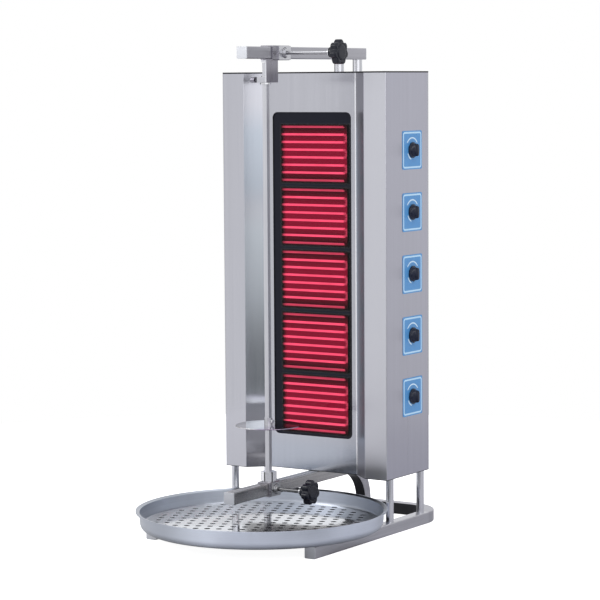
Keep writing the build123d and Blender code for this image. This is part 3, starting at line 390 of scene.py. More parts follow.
dress(["top_cover", "bottom_plate"],
      brushed_steel("brushed_steel_level", CABINET_STEEL, "X", 0.26, rim_shade=True))
print("materials so far:", len(bpy.data.materials))

# %% [markdown]
# Tubes, arms and sliders are the same steel rubbed to a satin. The hollow sides of the two tube
# bends face the dark under the cabinet and get painted shade, found by their distance from the
# bend's axis.
# A dark ring round each clamp nut is painted shade beside its weld.

# %% Patches on the tubes
BEND_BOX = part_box("lower_arm_bend")
BEND_REACH = 0.0805
BASE_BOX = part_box("base_rear_bend")
CORNER_REACH = 0.0736
CORNER_INSET = 0.103
PLATE_X = 0.0184
NUT_SHADE_RING = (0.0112, 0.0130)


def arm_bend_shade(tree, x, y, z):
    """1 within reach of the arm bend's axis, which is the tube's hollow side, where shade is
    painted.
    """
    away = distance(tree, minus(tree, y, BEND_BOX[0].y), minus(tree, z, BEND_BOX[0].z))
    return step_up(tree, away, BEND_REACH + 0.0006, BEND_REACH)


def base_bend_shade(tree, x, y, z):
    """1 on the inner side of the base's rear tube, where shade is painted. Distance is taken from
    the two corner axes, or from the line between them."""
    out = minus(tree, calc(tree, "ABSOLUTE", x), BASE_BOX[1].x - CORNER_INSET)
    away = distance(tree, larger(tree, out, 0.0), minus(tree, y, BASE_BOX[1].y - CORNER_INSET))
    return step_up(tree, away, CORNER_REACH + 0.0005, CORNER_REACH)


def shade_ring_round(nut):
    """A patch of painted shade on the slider's plate: 1 between the ring's two radii round the
    clamp nut.
    """
    inner, outer = NUT_SHADE_RING

    def share(tree, x, y, z):
        away = distance(tree, minus(tree, y, nut.y), minus(tree, z, nut.z))
        ring = times(tree, step_up(tree, away, inner - 0.0003, inner),
                     step_up(tree, away, outer + 0.001, outer))
        return times(tree, ring, step_up(tree, x, PLATE_X + 0.0044, PLATE_X + 0.0041))
    return share


print("arm bend's axis at y, z =", round(BEND_BOX[0].y, 4), round(BEND_BOX[0].z, 4))

# %% [markdown]
# A tube's grain runs along it. The sliders show two tones of painted light and shade, because the
# plate under the clamp nut faces another way than the sleeve: the plate is painted lighter.

# %% Steel of the tubes, arms and sliders
TUBE_STEEL = (0.44, 0.435, 0.47)
POST_STEEL = (0.66, 0.66, 0.69)
dress(["base_rail_left", "base_rail_right"],
      brushed_steel("satin_base_rails", (0.52, 0.515, 0.55), "Y", 0.30, streak=0.08))
dress(["base_rear_bend"],
      brushed_steel("satin_tube_base_bend", TUBE_STEEL, "X", 0.30, streak=0.08,
                    patches=[(base_bend_shade, (0.085, 0.085, 0.09))]))
dress(["tube_end_plates"],
      brushed_steel("satin_end_plates", (0.56, 0.57, 0.60), "X", 0.30, streak=0.04))
dress(["cabinet_posts_front", "cabinet_posts_rear", "upper_post_front", "upper_post_rear"],
      brushed_steel("satin_tube_upright", POST_STEEL, "Z", 0.15, 0.2, streak=0.04))
dress(["upper_arm"], brushed_steel("satin_tube_lengthwise", TUBE_STEEL, "Y", 0.30, streak=0.07))
dress(["lower_arm"], brushed_steel("satin_lower_arm", (0.44, 0.43, 0.43), "Y", 0.27, streak=0.14))
dress(["lower_arm_bend"],
      brushed_steel("satin_tube_bend", TUBE_STEEL, "X", 0.30, streak=0.10,
                    patches=[(arm_bend_shade, (0.035, 0.035, 0.04))]))
for which, sleeve, plate in (("upper", (0.31, 0.30, 0.335), POST_STEEL),
                             ("lower", (0.40, 0.39, 0.43), (0.47, 0.47, 0.48))):
    nut_shade_ring = shade_ring_round(middle_of(f"{which}_clamp_screw"))
    dress([f"{which}_slider"],
          brushed_steel(f"satin_{which}_slider", sleeve, "Y", 0.28, streak=0.06,
                        patches=[(beside(PLATE_X, PLATE_X + 0.0003), plate),
                                 (nut_shade_ring, (0.06, 0.06, 0.07))]))
dress(["spit", "disc_hub", "disc_set_screw"],
      brushed_steel("satin_spit", (0.58, 0.58, 0.61), "Z", 0.34, streak=0.05))
# Painted light and shade on the holder: faces right of x = 0.0163 stay dark, the rest is painted
# light.
dress(["spit_holder"],
      brushed_steel("satin_holder", (0.31, 0.30, 0.335), "Z", 0.28, streak=0.06,
                    patches=[(beside(0.0163, 0.0158), (0.72, 0.72, 0.75))]))
dress(["upper_bearing"],
      brushed_steel("satin_bearing", (0.10, 0.10, 0.11), "X", 0.25, streak=0.04,
                    patches=[(beside(-0.0135, -0.0120), (0.45, 0.45, 0.48))]))
print("materials so far:", len(bpy.data.materials))

# %% [markdown]
# Turned and polished pieces: the meat disc, the hexagonal socket, collars, screws and small
# hardware. They are nearly mirrors. What keeps a mirror from looking like a computer's is its
# faint wear, so a little noise moves the roughness, and fine marks break the reflection.

# %% Polished steel
POLISHED_EDGE = 0.0005
SPIT_AXIS = middle_of("spit")
SOCKET_FLAT = 0.0175
SOCKET_CORNER = SOCKET_FLAT * 2.0 / 3.0 ** 0.5


def polished_steel(name, colour, roughness, marks=40.0, patches=(), dull=None):
    """Mirror steel: roughness = base + small noise, with a slight waviness in the normal.
    Metallic = 1 - the dull patch, where a dark or pale dull colour is painted in place of the
    mirror."""
    finish, tree, shader = start_finish(name)
    where, *place = place_of(tree)
    smudge = noise(tree, where, marks, 4.0)
    fine = noise(tree, where, 900.0, 1.0)
    shade = blend_colours(tree, smudge, tuple(c * 0.9 for c in colour), colour)
    give(tree, shader, Base_Color=lay_patches(tree, shade, patches, place), Metallic=1.0,
         Roughness=scaled(tree, smudge, 0.08, roughness - 0.02))
    if dull:
        give(tree, shader, Metallic=minus(tree, 1.0, dull(tree, *place)), Specular_IOR_Level=0.1)
    add_relief(tree, shader, fine, 0.03, 0.0003, POLISHED_EDGE)
    return finish


def painted_hexagon_edges(tree, x, y, z):
    """1 near the socket's six upright edges, where dark lines are painted as their reflection:
    corner distance = 2 / sqrt 3 of the flat's.
    """
    away = distance(tree, minus(tree, x, SPIT_AXIS.x), minus(tree, y, SPIT_AXIS.y))
    return step_up(tree, away, SOCKET_CORNER - 0.0011, SOCKET_CORNER - 0.0007)


dress(["thrust_washer", "lower_clamp_pad", "upper_clamp_pad", "bearing_collar"],
      polished_steel("polished_steel", (0.68, 0.68, 0.70), 0.10))
dress(["spit_socket"], polished_steel("socket_steel", (0.90, 0.90, 0.92), 0.14,
                                      patches=[(painted_hexagon_edges, (0.05, 0.05, 0.05))]))
dress(["lock_pin_housing"], polished_steel("satin_pin_housing", (0.30, 0.30, 0.32), 0.25))
dress(["lock_pin"], polished_steel("satin_pull_pin", (0.26, 0.25, 0.29), 0.28))
for which, rod, roughness, collar_x in (("upper", (0.36, 0.36, 0.38), 0.20, 0.149),
                                        ("lower", (0.15, 0.15, 0.155), 0.24, 0.092)):
    collar = (beside(collar_x, collar_x + 0.001), (0.85, 0.85, 0.87))
    dress([f"{which}_clamp_screw"],
          polished_steel(f"{which}_clamp_rod", rod, roughness, patches=[collar]))
# Painted reflections on the disc: darker at its left end, and a pink tint on its right part, which
# mirrors the glowing window.
dress(["meat_disc"], polished_steel("mirror_steel", (0.64, 0.63, 0.64), 0.04, marks=18.0,
                                    patches=[(beside(-0.052, -0.060), (0.42, 0.42, 0.43)),
                                             (beside(0.000, 0.030), (0.42, 0.36, 0.47))]))
dress(["arm_mount_plate", "arm_bolts", "cover_screws", "glass_clips", "heater_pans",
       "heater_rails"], polished_steel("zinc_plated_steel", (0.52, 0.52, 0.50), 0.32))
print("materials so far:", len(bpy.data.materials))

# %% [markdown]
# The drip tray is spun from aluminium sheet on a lathe, so its marks are rings, and its surface is
# duller and bluer than the steel. The rings are noise that depends on the distance from the tray's
# axis and hardly on anything else.

# %% Spun aluminium
TRAY_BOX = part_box("drip_tray")
TRAY_CENTRE = middle_of("drip_tray")
INSERT_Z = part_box("perforated_insert")[0].z
INSERT_EDGE = (0.288, 0.284)
RING_PITCH = 900.0
CORNER_RING = 0.2859                  # radius of the ring round which the wall's foot is bent
CORNER_RING_Z = TRAY_BOX[0].z + 0.020
CORNER_SHEET = (0.0191, 0.0194)       # distance from that ring, at the middle of the sheet
WALL_LEAN = 0.0816
OUTSIDE_LIGHT = 1.2
END_SHADE = 0.68
TRAY_DARK = (0.01, 0.01, 0.012)
VIEW_SIDE = (0.84, 0.54)
VIEW_DEPTH = (-0.54, 0.84)


def across_and_deep(tree, x, y):
    """Place as the photographer sees it: to the right, and away from the camera."""
    return (weigh(tree, (x, VIEW_SIDE[0]), (y, VIEW_SIDE[1])),
            weigh(tree, (x, VIEW_DEPTH[0]), (y, VIEW_DEPTH[1])))


def outside_wall(tree, radius, z):
    """1 on the tray's outer side: further from the rounded corner's ring than the middle of the
    sheet. Above the corner the wall leans out a little, which is taken off the radius first."""
    height = minus(tree, z, CORNER_RING_Z)
    lean = times(tree, larger(tree, height, 0.0), WALL_LEAN)
    out = larger(tree, minus(tree, minus(tree, radius, CORNER_RING), lean), 0.0)
    away = distance(tree, out, smaller(tree, height, 0.0))
    return step_up(tree, away, *CORNER_SHEET)


def unlit_parts(tree, radius, z):
    """The share of dark: under the insert, and at the tray's foot, which stands on its shadow."""
    covered = times(tree, step_up(tree, z, INSERT_Z, INSERT_Z - 0.002),
                    step_up(tree, radius, *INSERT_EDGE))
    foot = step_up(tree, z, TRAY_BOX[0].z + 0.0032, TRAY_BOX[0].z + 0.0012)
    skirt = step_up(tree, z, TRAY_BOX[0].z + 0.022, TRAY_BOX[0].z + 0.004)
    foot = larger(tree, foot, times(tree, skirt, 0.45))
    return larger(tree, times(tree, covered, 0.93), times(tree, foot, 0.75))


def spun_aluminium(name, colour, roughness):
    """Rings: noise of (radius, height) * RING_PITCH, with the radius from the tray's axis."""
    finish, tree, shader = start_finish(name)
    where, x, y, z = place_of(tree)
    radius = distance(tree, minus(tree, x, TRAY_CENTRE.x), minus(tree, y, TRAY_CENTRE.y))
    ring = add(tree, "CombineXYZ", X=times(tree, radius, RING_PITCH), Y=times(tree, z, RING_PITCH))
    rings = noise(tree, ring.outputs[0], 1.0, 2.0)
    cloud = noise(tree, where, 9.0, 3.0)
    tone = step_up(tree, weigh(tree, (rings, 0.5), (cloud, 0.5)), 0.3, 0.7)
    dark, light = tuple(c * 0.9 for c in colour), tuple(c * 1.08 for c in colour)
    inner_wall = blend_colours(tree, tone, dark, light)
    # The outer wall is a lighter copy of the same aluminium: painted light.
    lit_outer_wall = blend_colours(tree, tone, tuple(c * OUTSIDE_LIGHT for c in dark),
                               tuple(c * OUTSIDE_LIGHT for c in light))
    outer = outside_wall(tree, radius, z)
    shade = blend_colours(tree, outer, inner_wall, lit_outer_wall)
    across, _ = across_and_deep(tree, x, y)
    left_end = times(tree, outer, step_up(tree, across, -0.16, -0.30))
    right_end = times(tree, minus(tree, 1.0, outer), step_up(tree, across, 0.08, 0.20))
    ends = larger(tree, left_end, right_end)
    shade = blend_colours(tree, ends, shade, tuple(c * END_SHADE for c in colour))
    shade = blend_colours(tree, unlit_parts(tree, radius, z), shade, TRAY_DARK)
    give(tree, shader, Base_Color=shade, Metallic=1.0,
         Roughness=scaled(tree, cloud, 0.12, roughness - 0.06))
    add_relief(tree, shader, rings, 0.05, 0.0004)
    return finish


dress(["drip_tray"], spun_aluminium("spun_aluminium", (0.57, 0.605, 0.675), 0.32))
print("tray centre:", [round(v, 4) for v in TRAY_CENTRE])

# %% [markdown]
# The perforated insert is a bright sheet. In front, right of the middle, shade is painted on it,
# and its back left part is painted light. Both mirror less, so there the metal share goes down and
# a dark or pale dull surface shows.

# %% Perforated insert
def painted_shade_wedge(tree, x, y, z):
    """Painted shade in front: its upper edge bows down as across goes from -0.05 to 0.07."""
    across, deep = across_and_deep(tree, x, y)
    bow = smaller(tree, larger(tree, plus(tree, across, 0.05), 0.0), 0.12)
    edge = scaled(tree, bow, 0.35, deep)
    return times(tree, step_up(tree, edge, -0.070, -0.100), step_up(tree, across, -0.105, -0.080))


def painted_pale_patch(tree, x, y, z):
    """The back left part, painted light as a pale dull surface."""
    across, deep = across_and_deep(tree, x, y)
    return times(tree, step_up(tree, deep, -0.15, -0.09), step_up(tree, across, 0.0, -0.08))


def insert_painted_patches(tree, x, y, z):
    """Both painted parts, each with its own strength."""
    return larger(tree, times(tree, painted_shade_wedge(tree, x, y, z), 0.95),
                  times(tree, painted_pale_patch(tree, x, y, z), 0.75))


dress(["perforated_insert"],
      polished_steel("insert_sheet_bright", (0.70, 0.72, 0.76), 0.05, marks=30.0,
                     patches=[(painted_shade_wedge, (0.10, 0.10, 0.11))], dull=insert_painted_patches))
print("insert's underside at z =", round(INSERT_Z, 4))

# %% [markdown]
# Behind the dark glass ceramic lie five heating zones. Each has eight lines of ribbon that glow
# pink-red, with a deep red on the board between them. The glass takes most of the light away, so
# what isn't glowing looks black. The glass itself is a plain dielectric with a dark tint.

# %% Dark glass and glow
ZONES = 5
ZONE_PITCH = 0.162
ZONE_TOP_Z = 0.961
LINES_PER_ZONE = 8
LINE_PITCH = 0.0196
GLOW_CORE = (1.0, 0.085, 0.17)
BOARD_PAINTED_GLOW = (0.22, 0.0012, 0.020)
GLASS_TINT = (0.07, 0.065, 0.07)
ENAMEL = (0.012, 0.013, 0.022)
CLEAR_X = (-0.0965, 0.1130)
CLEAR_Z = (0.2335, 1.0385)
BEHIND_GLASS = 1.0 / GLASS_TINT[0]    # the tint takes that much, so the glow is made stronger
MIRRORED_GLOW = 0.2


def zone_height(tree, z):
    """Height from the middle of the nearest zone, repeating down the window."""
    down = minus(tree, ZONE_TOP_Z + ZONE_PITCH / 2, z)
    return minus(tree, ZONE_PITCH / 2, calc(tree, "FLOORED_MODULO", down, ZONE_PITCH))


def dark_glass(name):
    """Dark tinted glass, enamelled at the border and between zones. Clear = near a zone's middle
    and inside the limits, with soft edges."""
    finish, tree, shader = start_finish(name)
    where, x, _, z = place_of(tree)
    film = noise(tree, where, 14.0, 2.0)
    away = calc(tree, "ABSOLUTE", zone_height(tree, z))
    clear = step_up(tree, away, ZONE_PITCH / 2, ZONE_PITCH / 2 - 0.009)
    for value, (low, high) in ((x, CLEAR_X), (z, CLEAR_Z)):
        clear = times(tree, clear, between(tree, value, low, high, 0.004))
    give(tree, shader, Base_Color=blend_colours(tree, clear, ENAMEL, GLASS_TINT),
         Roughness=times(tree, film, 0.03), Transmission_Weight=clear, IOR=1.22)
    return finish


dress(["glass_panel"], dark_glass("dark_glass_ceramic"))

# %% [markdown]
# The board behind the ribbons glows deep red: painted light that stands for the ribbons' light on
# it. Brushed steel shows little of that glow in the photograph, so a mirrored ray sees a fifth of
# it: Light Path tells how many times a ray was mirrored.

# %% Glowing board
def in_mirrors(tree):
    """1 where the glow is seen directly, MIRRORED_GLOW where it is mirrored."""
    bounces = smaller(tree, add(tree, "LightPath").outputs["Glossy Depth"], 1.0)
    return scaled(tree, bounces, MIRRORED_GLOW - 1.0, 1.0)


def glow_mask(tree, x, z):
    """1 inside a zone, fading past its first and last line and past the ends of the lines."""
    half = LINE_PITCH * (LINES_PER_ZONE - 1) / 2
    away = calc(tree, "ABSOLUTE", zone_height(tree, z))
    sideways = times(tree, step_up(tree, x, 0.1025, 0.095), step_up(tree, x, -0.102, -0.088))
    return times(tree, step_up(tree, away, half + 0.012, half - 0.048), sideways)


def board_with_painted_glow(name):
    """Fibre board with painted light: a deep red glow inside the zones, nearly black outside them.
    """
    finish, tree, shader = start_finish(name)
    where, x, _, z = place_of(tree)
    fibres = noise(tree, where, 350.0, 4.0)
    shade = blend_colours(tree, fibres, (0.010, 0.008, 0.010), (0.03, 0.02, 0.025))
    glow = times(tree, glow_mask(tree, x, z), scaled(tree, fibres, 0.5, 0.75))
    glow = times(tree, glow, in_mirrors(tree))
    give(tree, shader, Base_Color=shade, Roughness=0.9, Emission_Color=BOARD_PAINTED_GLOW,
         Emission_Strength=times(tree, glow, BEHIND_GLASS))
    return finish


dress(["heater_insulation"], board_with_painted_glow("fibre_board_painted_glow"))
print("glow is made stronger by", round(BEHIND_GLASS, 1))

# %% [markdown]
# Each heating ribbon is a thin strip on edge, folded into small waves so that more of it fits, and
# laid in a serpentine: eight lines joined by half turns at alternate ends. The shape is one path
# carried through two parameters: how far along the path, and how deep the strip stands. The wave
# moves the strip sideways by a sine of the distance along the path.

# %% Waved heating ribbons
RIBBON_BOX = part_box("heating_ribbons")
WAVE_HALF = 0.0025
WAVE_LENGTH = 0.0062
STRIP_DEPTH = 0.0100
RIBBON_X = (-0.0995, 0.0885)          # ends of the straight lines
LEFT_TURN = 0.5
STRIP_THICKNESS = 0.0006
SAMPLES_PER_WAVE = 10
CORE_POWER = 1.15


def serpentine(pitch, half, lines, step):
    """Points and sideways directions along lines that alternate right-left, joined by half turns.
    A line at height h runs from x = -half to +half. The right turn is a half circle of radius
    pitch / 2, the left one an ellipse of half its reach, sunk in the board's rim."""
    radius = pitch / 2
    points, sides = [], []
    for line in range(lines):
        height = (lines - 1) * pitch / 2 - line * pitch
        way = 1.0 if line % 2 else -1.0
        run = np.arange(-half, half, step) * way
        points.append(np.stack([run, np.full(len(run), height)], axis=1))
        sides.append(np.tile([0.0, way], (len(run), 1)))
        if line < lines - 1:
            turn = np.arange(0.0, pi, step / radius)
            centre = np.array([way * half, height - radius])
            arm = np.stack([way * np.sin(turn), np.cos(turn)], axis=1)
            points.append(centre + radius * arm * np.array([1.0 if way > 0 else LEFT_TURN, 1.0]))
            sides.append(arm * way)
    return np.concatenate(points), np.concatenate(sides)


def wave_strip(points, sides, depth_y):
    """Grid of (distance, depth): path point + side * WAVE_HALF * sin(2 pi s / WAVE_LENGTH)."""
    steps = np.linalg.norm(np.diff(points, axis=0), axis=1)
    along = np.concatenate([[0.0], np.cumsum(steps)])
    moved = points + sides * (WAVE_HALF * np.sin(2 * pi * along / WAVE_LENGTH))[:, None]
    rows = [np.stack([moved[:, 0], np.full(len(moved), y), moved[:, 1]], axis=1)
            for y in depth_y]
    return np.stack(rows, axis=1)


def grid_mesh(name, grid, wrap_u=False, wrap_v=False, caps=False):
    """A mesh from an array of points (u, v, 3): one quad between neighbours, closed round where
    asked. Caps fill the first and the last ring with one flat face each."""
    count_u, count_v = grid.shape[:2]
    index = np.arange(count_u * count_v).reshape(count_u, count_v)
    u = np.arange(count_u if wrap_u else count_u - 1)[:, None]
    v = np.arange(count_v if wrap_v else count_v - 1)[None, :]
    next_u, next_v = (u + 1) % count_u, (v + 1) % count_v
    corners = [index[u, v], index[next_u, v], index[next_u, next_v], index[u, next_v]]
    faces = np.stack(corners, axis=-1).reshape(-1, 4).tolist()
    if caps:
        faces += [index[::-1, 0].tolist(), index[:, -1].tolist()]
    mesh = bpy.data.meshes.new(name)
    mesh.from_pydata(grid.reshape(-1, 3).tolist(), [], faces)
    mesh.update()
    return mesh


def add_piece(name, grid, finish, body, slot, **closed):
    """Make a piece from a grid: its finish, smooth faces and the body it rides on; the slot is not
    used.
    """
    mesh = grid_mesh(name, grid, **closed)
    mesh.materials.append(finish)
    mesh.shade_smooth()
    piece = bpy.data.objects.new(name, mesh)
    bpy.context.scene.collection.objects.link(piece)
    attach(piece, body)
    return piece


def glowing_ribbon(name):
    """Pink emission, weaker on the first and last line and at both ends of a line."""
    finish, tree, shader = start_finish(name)
    where, x, _, z = place_of(tree)
    away = calc(tree, "ABSOLUTE", zone_height(tree, z))
    inner = step_up(tree, away, LINE_PITCH * 3.9, LINE_PITCH * 2.6)
    left = step_up(tree, x, RIBBON_X[0] - 0.004, RIBBON_X[0] + 0.018)
    right = step_up(tree, x, RIBBON_X[1] + 0.006, RIBBON_X[1] - 0.002)
    mottle = noise(tree, where, 28.0, 2.0)
    power = times(tree, scaled(tree, inner, 0.65, 0.35), left)
    power = times(tree, power, scaled(tree, right, 0.6, 0.4))
    power = times(tree, power, scaled(tree, mottle, 0.5, 0.75))
    power = times(tree, power, in_mirrors(tree))
    give(tree, shader, Base_Color=(0.05, 0.02, 0.02), Emission_Color=GLOW_CORE,
         Emission_Strength=times(tree, power, CORE_POWER * BEHIND_GLASS))
    return finish


def make_ribbons():
    """One waved strip per zone, between the front of the solid ribbon's space and the board."""
    back_y = RIBBON_BOX[1].y
    half = (RIBBON_X[1] - RIBBON_X[0]) / 2
    path, side = serpentine(LINE_PITCH, half, LINES_PER_ZONE, WAVE_LENGTH / SAMPLES_PER_WAVE)
    strip = wave_strip(path, side, (back_y - STRIP_DEPTH, back_y))
    finish = glowing_ribbon("ribbon_glow")
    for zone in range(ZONES):
        grid = strip + np.array([RIBBON_X[0] + half, 0.0, ZONE_TOP_Z - zone * ZONE_PITCH])
        piece = add_piece(f"waved_ribbon_{zone + 1}", grid, finish, "frame", "heating_element")
        wall = piece.modifiers.new("strip", "SOLIDIFY")
        wall.thickness = STRIP_THICKNESS
        wall.offset = 0.0
        if zone == 0:
            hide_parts("heating_ribbons")
    return len(path)


print("points along one ribbon:", make_ribbons())

# %% [markdown]
# The five labels are blue film with a pale border, a white arc over the knob and a short pale
# crescent under it: plain dial marks. They repeat down the side, so the pattern is worked out once
# in a label's own coordinates: across the side, and up from the label's middle.

# %% Label film
LABEL_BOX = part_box("zone_labels")
LABEL_HALF = 0.049
LABEL_PITCH = 0.1574
LABEL_TOP_Z = LABEL_BOX[1].z - LABEL_HALF
LABEL_Y = middle_of("zone_labels").y
LABEL_BLUE = (0.085, 0.305, 0.655)
LABEL_PALE = (0.50, 0.74, 0.95)
LABEL_WHITE = (0.66, 0.84, 1.0)
BORDER_INSET = 0.0052
BORDER_CORNER = 0.006
BORDER_HALF_WIDTH = 0.0021
ARC = (0.0310, 0.0016)                # radius and half width
CRESCENT = (0.0230, 0.0019)


def band(tree, value, middle, half_width, soft=0.0006):
    """1 where value is within half_width of middle, with soft edges."""
    away = calc(tree, "ABSOLUTE", minus(tree, value, middle))
    return step_up(tree, away, half_width + soft, half_width - soft)


def label_film(name):
    """Blue film. Border: a rounded square's distance. Arc and crescent: bands of radius, cut off
    by height and side."""
    finish, tree, shader = start_finish(name)
    where, _, y, z = place_of(tree)
    across = minus(tree, y, LABEL_Y)
    down = minus(tree, LABEL_TOP_Z + LABEL_PITCH / 2, z)
    up = minus(tree, LABEL_PITCH / 2, calc(tree, "FLOORED_MODULO", down, LABEL_PITCH))
    straight = LABEL_HALF - BORDER_INSET - BORDER_CORNER
    out_a, out_b = (larger(tree, minus(tree, calc(tree, "ABSOLUTE", way), straight), 0.0)
                    for way in (across, up))
    border = band(tree, distance(tree, out_a, out_b), BORDER_CORNER, BORDER_HALF_WIDTH)
    radius = distance(tree, across, up)
    arc = times(tree, band(tree, radius, *ARC), step_up(tree, up, 0.017, 0.020))
    crescent = times(tree, band(tree, radius, *CRESCENT), step_up(tree, up, -0.007, -0.010))
    crescent = times(tree, crescent, step_up(tree, across, -0.004, -0.007))
    marks = larger(tree, arc, crescent)
    film = noise(tree, where, 60.0, 2.0)
    colour = blend_colours(tree, film, tuple(c * 0.9 for c in LABEL_BLUE), LABEL_BLUE)
    colour = blend_colours(tree, border, colour, LABEL_PALE)
    give(tree, shader, Base_Color=blend_colours(tree, marks, colour, LABEL_WHITE),
         Roughness=scaled(tree, film, 0.1, 0.3))
    add_relief(tree, shader, larger(tree, border, marks), 0.1, 0.0001)
    return finish


dress(["zone_labels"], label_film("blue_label_film"))
print("label middle at y =", round(LABEL_Y, 4))

# %% [markdown]
# Plastics: black phenolic knobs with a slight sheen, black cable parts and grey moulded cases. A
# fine noise in the bump gives the moulded grain, and a coarser one varies the gloss where hands
# have been.

# %% Plastics and rubber
MOULD_GRAIN = 700.0
MOULD_RELIEF = 0.08


def moulded(name, colour, roughness, gloss=0.5):
    """Plastic: a faint mottle, roughness = base + handling noise, and a grained bump."""
    finish, tree, shader = start_finish(name)
    where, *_ = place_of(tree)
    handling = noise(tree, where, 45.0, 3.0)
    light = tuple(min(1.0, c * 1.5 + 0.002) for c in colour)
    give(tree, shader, Base_Color=blend_colours(tree, handling, colour, light),
         Roughness=scaled(tree, handling, 0.2, roughness - 0.1), Specular_IOR_Level=gloss)
    grain = noise(tree, where, MOULD_GRAIN, 2.0)
    add_relief(tree, shader, grain, MOULD_RELIEF, 0.0003, SOFT_EDGE)
    return finish


black_knob = moulded("black_phenolic", (0.006, 0.007, 0.014), 0.20, gloss=0.32)
blue_black = moulded("blue_black_phenolic", (0.006, 0.009, 0.024), 0.24, gloss=0.32)
dress(["lower_star_knob", "upper_star_knob"], black_knob)
dress([f"control_knob_{number}" for number in range(1, ZONES + 1)], blue_black)
dress(["cable_gland", "wiring_loom"], moulded("black_nylon", (0.015, 0.015, 0.015), 0.5))
dress(["energy_regulators", "terminal_block"],
      moulded("grey_moulding", (0.22, 0.22, 0.23), 0.5))
dress(["glass_gasket"], moulded("black_rubber", (0.012, 0.012, 0.012), 0.7))
print("materials so far:", len(bpy.data.materials))

# %% [markdown]
# The clamping knobs are pressed from phenolic: a round hub towards the arm that opens like a bell
# into seven finger lobes, and a raised boss in front with a groove round it. All of it is one
# outline turned about the knob's axis, with the radius drawn in between the lobes. The outline's
# corners are rounded by cutting them twice.

# %% Star knobs
STAR_LOBES = 7
STAR_TURNS = 25 * STAR_LOBES
STAR_HUB = 0.010
STAR_OUTLINE = np.array([             # along, radius and how far it draws in, in millimetres
    (-15.5, 5.0, 0.0), (-15.5, 11.4, 0.0), (-15.1, 12.5, 0.0), (-13.9, 13.0, 0.0),
    (-7.0, 13.4, 0.0), (-4.8, 14.8, 0.0), (-3.0, 18.2, 1.0), (-1.2, 23.8, 3.0), (0.6, 28.6, 4.8),
    (2.2, 31.0, 5.6), (4.0, 31.5, 5.8), (7.0, 31.5, 6.0), (16.4, 31.5, 6.0), (18.2, 30.9, 5.7),
    (19.2, 28.8, 4.6), (19.6, 25.0, 2.4), (19.5, 21.8, 0.6), (18.6, 20.8, 0.0),
    (18.6, 19.4, 0.0), (20.0, 18.9, 0.0), (20.8, 17.0, 0.0), (21.0, 12.0, 0.0),
    (21.0, 6.0, 0.0), (21.0, 2.0, 0.0)]) / 1000.0


def cut_corners(points, rounds=2):
    """Every side is replaced by its points at one quarter and three quarters; both ends stay."""
    for _ in range(rounds):
        near = 0.75 * points[:-1] + 0.25 * points[1:]
        far = 0.25 * points[:-1] + 0.75 * points[1:]
        middle = np.stack([near, far], axis=1).reshape(-1, points.shape[1])
        points = np.concatenate([points[:1], middle, points[-1:]])
    return points


def full_turn(count):
    """Angles of one full turn, without the last, which would repeat the first."""
    return np.linspace(0.0, 2 * pi, count + 1)[:-1]


def lobed_turning(outline, lobes, turns, start):
    """Outline turned about X. Radius = its own - draw * (0.5 - 0.5 cos(lobes * angle)) ^ 1.6."""
    angle = full_turn(turns)
    drawn_in = (0.5 - 0.5 * np.cos(lobes * angle)) ** 1.6
    radius = outline[None, :, 1] - outline[None, :, 2] * drawn_in[:, None]
    along = np.broadcast_to(outline[None, :, 0], radius.shape)
    side, up = -np.sin(angle)[:, None] * radius, np.cos(angle)[:, None] * radius
    return np.stack([along + start[0], side + start[1], up + start[2]], axis=-1)


for which in ("upper", "lower"):
    screw = middle_of(f"{which}_clamp_screw")
    start = (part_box(f"{which}_star_knob")[0].x + STAR_HUB, screw.y, screw.z)
    grid = lobed_turning(cut_corners(STAR_OUTLINE), STAR_LOBES, STAR_TURNS, start)
    star = add_piece(f"{which}_moulded_knob", grid, black_knob, f"{which}_clamp", "black_knob",
                     wrap_u=True, caps=True)
    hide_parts(f"{which}_star_knob")
print("star knob grid:", grid.shape)

# %% [markdown]
# A control knob is a round skirt whose body draws in to an upright grip. Each ring of the surface
# is a rounded shape between a circle and a bar: half width, half height and squareness change
# along the axis. The shaft that the knob turns is the thin start of the same surface.

# %% Control knobs
KNOB_TURNS = 96
KNOB_DEPTH = 18.0
KNOB_SHAFT = 3.0
KNOB_RINGS = np.array([               # along, half width, half height in mm, and squareness
    (0.0, 3.0, 3.0, 2.0), (0.0, 18.8, 18.8, 2.0), (0.3, 19.7, 19.7, 2.0), (1.2, 20.0, 20.0, 2.0),
    (3.0, 19.9, 19.9, 2.0), (3.8, 19.2, 19.2, 2.0), (4.1, 17.6, 17.6, 2.0), (4.6, 16.9, 17.0, 2.0),
    (6.5, 15.8, 16.8, 2.0), (8.6, 13.0, 16.5, 2.1), (10.6, 9.6, 16.2, 2.3), (12.4, 7.2, 15.9, 2.5),
    (14.2, 6.0, 15.6, 2.6), (16.4, 5.4, 15.0, 2.6), (17.6, 4.6, 14.0, 2.6), (18.0, 3.0, 12.0, 2.4),
    (18.0, 1.0, 8.0, 2.2)])


def grip_surface(rings, turns, start):
    """Ring point = (along, half width * |cos|^(2/p) * sign, half height * |sin|^(2/p) * sign)."""
    angle = full_turn(turns)[:, None]
    power = 2.0 / rings[None, :, 3]
    side = rings[None, :, 1] / 1000.0 * np.sign(np.cos(angle)) * np.abs(np.cos(angle)) ** power
    up = rings[None, :, 2] / 1000.0 * np.sign(np.sin(angle)) * np.abs(np.sin(angle)) ** power
    along = np.broadcast_to(rings[None, :, 0] / 1000.0, side.shape)
    return np.stack([along + start[0], side + start[1], up + start[2]], axis=-1)


